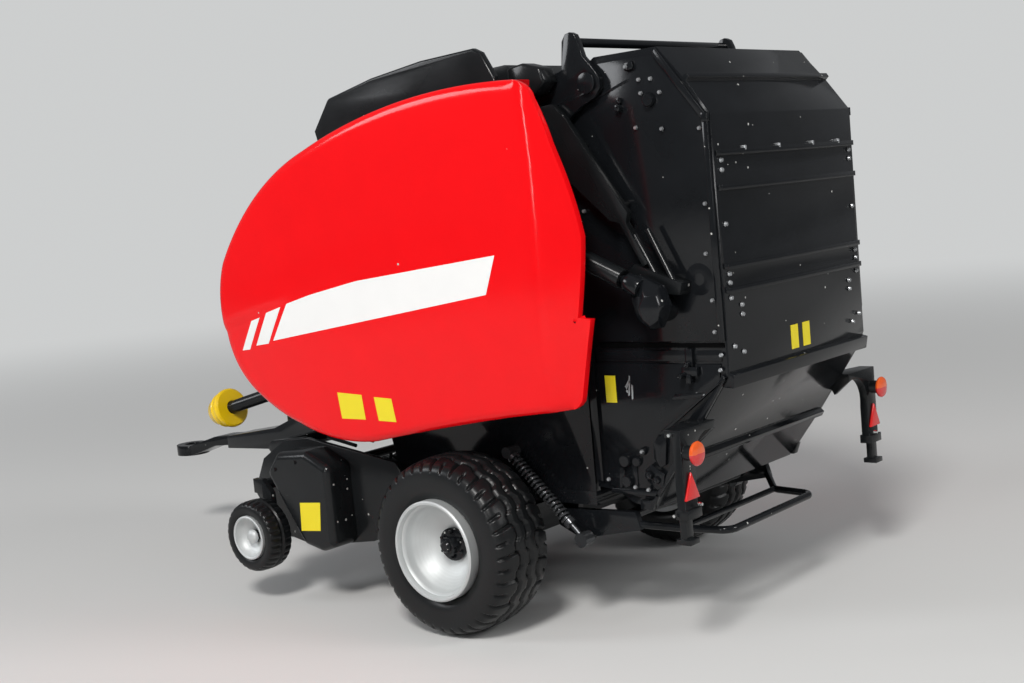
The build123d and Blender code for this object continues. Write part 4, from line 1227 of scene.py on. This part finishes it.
class BALER_OT_lamps(bpy.types.Operator):
    """Domed tail lamps, and the bolts of the light brackets"""
    bl_idname = "baler.lamps"
    bl_label = "Lamps"

    def execute(self, context):
        for side, sign in SIDES:
            low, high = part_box("tail_lamp_" + side)
            middle = (low + high) / 2
            radius, reach = (high.z - low.z) / 2 / MM, (high.x - low.x) / MM
            turned_piece("lens_" + side, [(reach * y, radius * r) for y, r in LENS_SECTION],
                         (high.x, middle.y, middle.z), (-1, 0, 0), 40, lamp_finish(), "tailgate",
                         ["tail_lamp_" + side])
            bolts("lamp_bolts_" + side, "tailgate", [
                ((x, sign * y, z), (ahead, sign * out, 0)) for (x, y, z), (ahead, out, _)
                in LAMP_BOLTS], finish("bright steel"), radius=LAMP_BOLT, height=LAMP_BOLT_HEIGHT)
        return {"FINISHED"}


# driveline: (x, z) of its two ends; where the guard starts on it, and the guard's section
DRIVE_REAR, DRIVE_FRONT = (58.0, 37.4), (100.2, 27.2)
GUARD_START = 36.9
GUARD = [(0, 1.5), (0, 3.9), (0.25, 4.25), (0.9, 4.3), (1.2, 4.05), (2.5, 3.75), (2.8, 3.85),
         (3.2, 3.7), (3.5, 3.4), (4.9, 3.0), (5.4, 2.7), (5.7, 2.3), (5.7, 1.8)]


class BALER_OT_driveline(bpy.types.Operator):
    """Yellow guard with its rings"""
    bl_idname = "baler.driveline"
    bl_label = "Driveline"

    def execute(self, context):
        rear, front = (at(x, 0, z) for x, z in (DRIVE_REAR, DRIVE_FRONT))
        way = (front - rear).normalized()
        turned_piece("guard", GUARD, rear + way * GUARD_START * MM, way, 64,
                     finish("yellow plastic"), "chassis", ["driveline_guard"], closed=True)
        return {"FINISHED"}


COVER_STICKER = [(31.4, 14.2), (36.4, 13.8), (36.1, 18.9), (30.8, 19.3)]
COVER_BOLTS = [(42.0, 24.6), (36.4, 26.2)]


class BALER_OT_pickup_trim(bpy.types.Operator):
    """Blank stickers and bolts of the pickup covers"""
    bl_idname = "baler.pickup_trim"
    bl_label = "Pickup Trim"

    def execute(self, context):
        for side, sign in SIDES:
            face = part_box("pickup_cover_left")[1].y / MM * sign
            plates("pickup_sticker_" + side, [(COVER_STICKER, face, face + sign * STICKER_LIFT)],
                   finish("blank sticker"), "pickup")
            bolts("pickup_bolts_" + side, "pickup",
                  [((x, face, z), (0, sign, 0)) for x, z in COVER_BOLTS], finish("moulded black"))
        return {"FINISHED"}


# ---------------- stage
PALE = (0.61, 0.62, 0.62, 1)         # backdrop, as the camera sees it
FLOOR = (0.66, 0.66, 0.65, 1)
FLOOR_REACH = 2.4
FADE_START, FADE_END = 0.10, 0.75    # distances between which the floor turns to the backdrop
SKY = (0.85, 0.87, 0.90, 1)
SKY_STRENGTH = 0.24
FOCUS = Vector((0.0, 0.0, 0.045))    # where the lamps point
# lamps: place, width, height, watts, colour
LAMPS = {
    "key": ((-0.26, 0.46, 0.52), 0.16, 0.16, 3.5, (1.0, 0.98, 0.96)),
    "fill": ((0.46, 0.44, 0.36), 0.24, 0.24, 1.2, (0.95, 0.97, 1.0)),
    "rim": ((-0.60, -0.16, 0.36), 0.20, 0.20, 1.3, (1.0, 1.0, 1.0)),
    "edge": ((-0.09, 0.46, 0.17), 0.03, 0.24, 0.26, (1.0, 1.0, 1.0)),
}
CAMERA_PLACE = (-0.19114, 0.19952, 0.07055)
CAMERA_FORWARD = (0.645778, -0.756402, -0.104049)
CAMERA_RIGHT = (-0.763522, -0.639375, -0.090737)
LENS, SENSOR, CLIP_START = 50.92, 36.0, 0.005


def mix_shaders(tree, share, first, second, output):
    mix = node(tree, "ShaderNodeMixShader", {0: share, 1: first, 2: second})
    feed(tree, tree.nodes[output], {"Surface": mix.outputs[0]})


def camera_ray(tree):
    return node(tree, "ShaderNodeLightPath").outputs["Is Camera Ray"]


def floor_finish():
    """Matt floor that keeps the shadow and fades into the backdrop away from the object."""
    material, tree, shader = plain_material("pale floor")
    feed(tree, shader, {"Base Color": FLOOR, "Roughness": 0.8, "Specular IOR Level": 0.2})
    reach = node(tree, "ShaderNodeVectorMath", {0: object_place(tree)}, operation="LENGTH")
    fade = node(tree, "ShaderNodeMapRange", {
        "Value": reach.outputs["Value"], "From Min": FADE_START, "From Max": FADE_END},
        interpolation_type="SMOOTHSTEP")
    seen = math_node(tree, "MULTIPLY", fade.outputs[0], camera_ray(tree))
    glow = node(tree, "ShaderNodeEmission", {"Color": PALE})
    mix_shaders(tree, seen, shader.outputs[0], glow.outputs[0], "Material Output")
    return material


def studio_world():
    """Soft light all round; the camera sees the same pale tone as the floor."""
    world = bpy.data.worlds.new("studio")
    world.use_nodes = True
    tree = world.node_tree
    soft = tree.nodes["Background"]
    feed(tree, soft, {"Color": SKY, "Strength": SKY_STRENGTH})
    seen = node(tree, "ShaderNodeBackground", {"Color": PALE})
    mix_shaders(tree, camera_ray(tree), soft.outputs[0], seen.outputs[0], "World Output")
    return world


def staged(name, data):
    holder = bpy.data.objects.new(name, data)
    bpy.context.scene.collection.objects.link(holder)
    return holder


class BALER_OT_stage(bpy.types.Operator):
    """Pale floor, soft lamps and the camera"""
    bl_idname = "baler.stage"
    bl_label = "Stage"

    def execute(self, context):
        scene = context.scene
        shape = bmesh.new()
        shape.faces.new([shape.verts.new((x * FLOOR_REACH, y * FLOOR_REACH, 0))
                         for x, y in ((-1, -1), (1, -1), (1, 1), (-1, 1))])
        mesh = to_mesh("floor", shape)
        mesh.materials.append(floor_finish())
        staged("floor", mesh)
        scene.world = studio_world()

        for name, (place, width, height, power, tint) in LAMPS.items():
            lamp = bpy.data.lights.new(name, "AREA")
            lamp.shape = "ELLIPSE"
            lamp.size = width
            lamp.size_y = height
            lamp.energy = power
            lamp.color = tint
            holder = staged(name, lamp)
            holder.location = place
            holder.rotation_euler = (FOCUS - Vector(place)).to_track_quat("-Z", "Y").to_euler()

        camera = bpy.data.cameras.new("camera")
        camera.lens = LENS
        camera.sensor_width = SENSOR
        camera.clip_start = CLIP_START
        forward = Vector(CAMERA_FORWARD).normalized()
        up = Vector(CAMERA_RIGHT).normalized().cross(forward).normalized()
        turn = Matrix((forward.cross(up), up, -forward)).transposed().to_4x4()
        scene.camera = staged("camera", camera)
        scene.camera.matrix_world = Matrix.Translation(CAMERA_PLACE) @ turn

        scene.view_settings.view_transform = "Standard"
        return {"FINISHED"}


class BALER_PT_panel(bpy.types.Panel):
    """Sizes, colours and steps of the baler model"""
    bl_idname = "BALER_PT_panel"
    bl_label = "Baler"
    bl_space_type = "VIEW_3D"
    bl_region_type = "UI"
    bl_category = "Baler"

    def draw(self, context):
        layout = self.layout
        for group in (context.scene.baler_sizes, context.scene.baler_colours):
            box = layout.box()
            for name in group.__annotations__:
                box.prop(group, name)
        for step in STEPS:
            layout.operator(step.bl_idname)


STEPS = (BALER_OT_side_panels, BALER_OT_tyres, BALER_OT_rims, BALER_OT_bodywork,
         BALER_OT_lift_rods, BALER_OT_tailgate_trim, BALER_OT_springs, BALER_OT_lamps,
         BALER_OT_driveline, BALER_OT_pickup_trim, BALER_OT_plain_nodes, BALER_OT_stage)
CLASSES = (BalerSizes, BalerColours) + STEPS + (BALER_PT_panel,)


def register():
    for item in CLASSES:
        bpy.utils.register_class(item)
    bpy.types.Scene.baler_sizes = bpy.props.PointerProperty(type=BalerSizes)
    bpy.types.Scene.baler_colours = bpy.props.PointerProperty(type=BalerColours)


def unregister():
    del bpy.types.Scene.baler_colours
    del bpy.types.Scene.baler_sizes
    for item in reversed(CLASSES):
        bpy.utils.unregister_class(item)


def main():
    register()
    for step in STEPS:
        group, name = step.bl_idname.split(".")
        getattr(getattr(bpy.ops, group), name)()


if __name__ == "__main__":
    main()
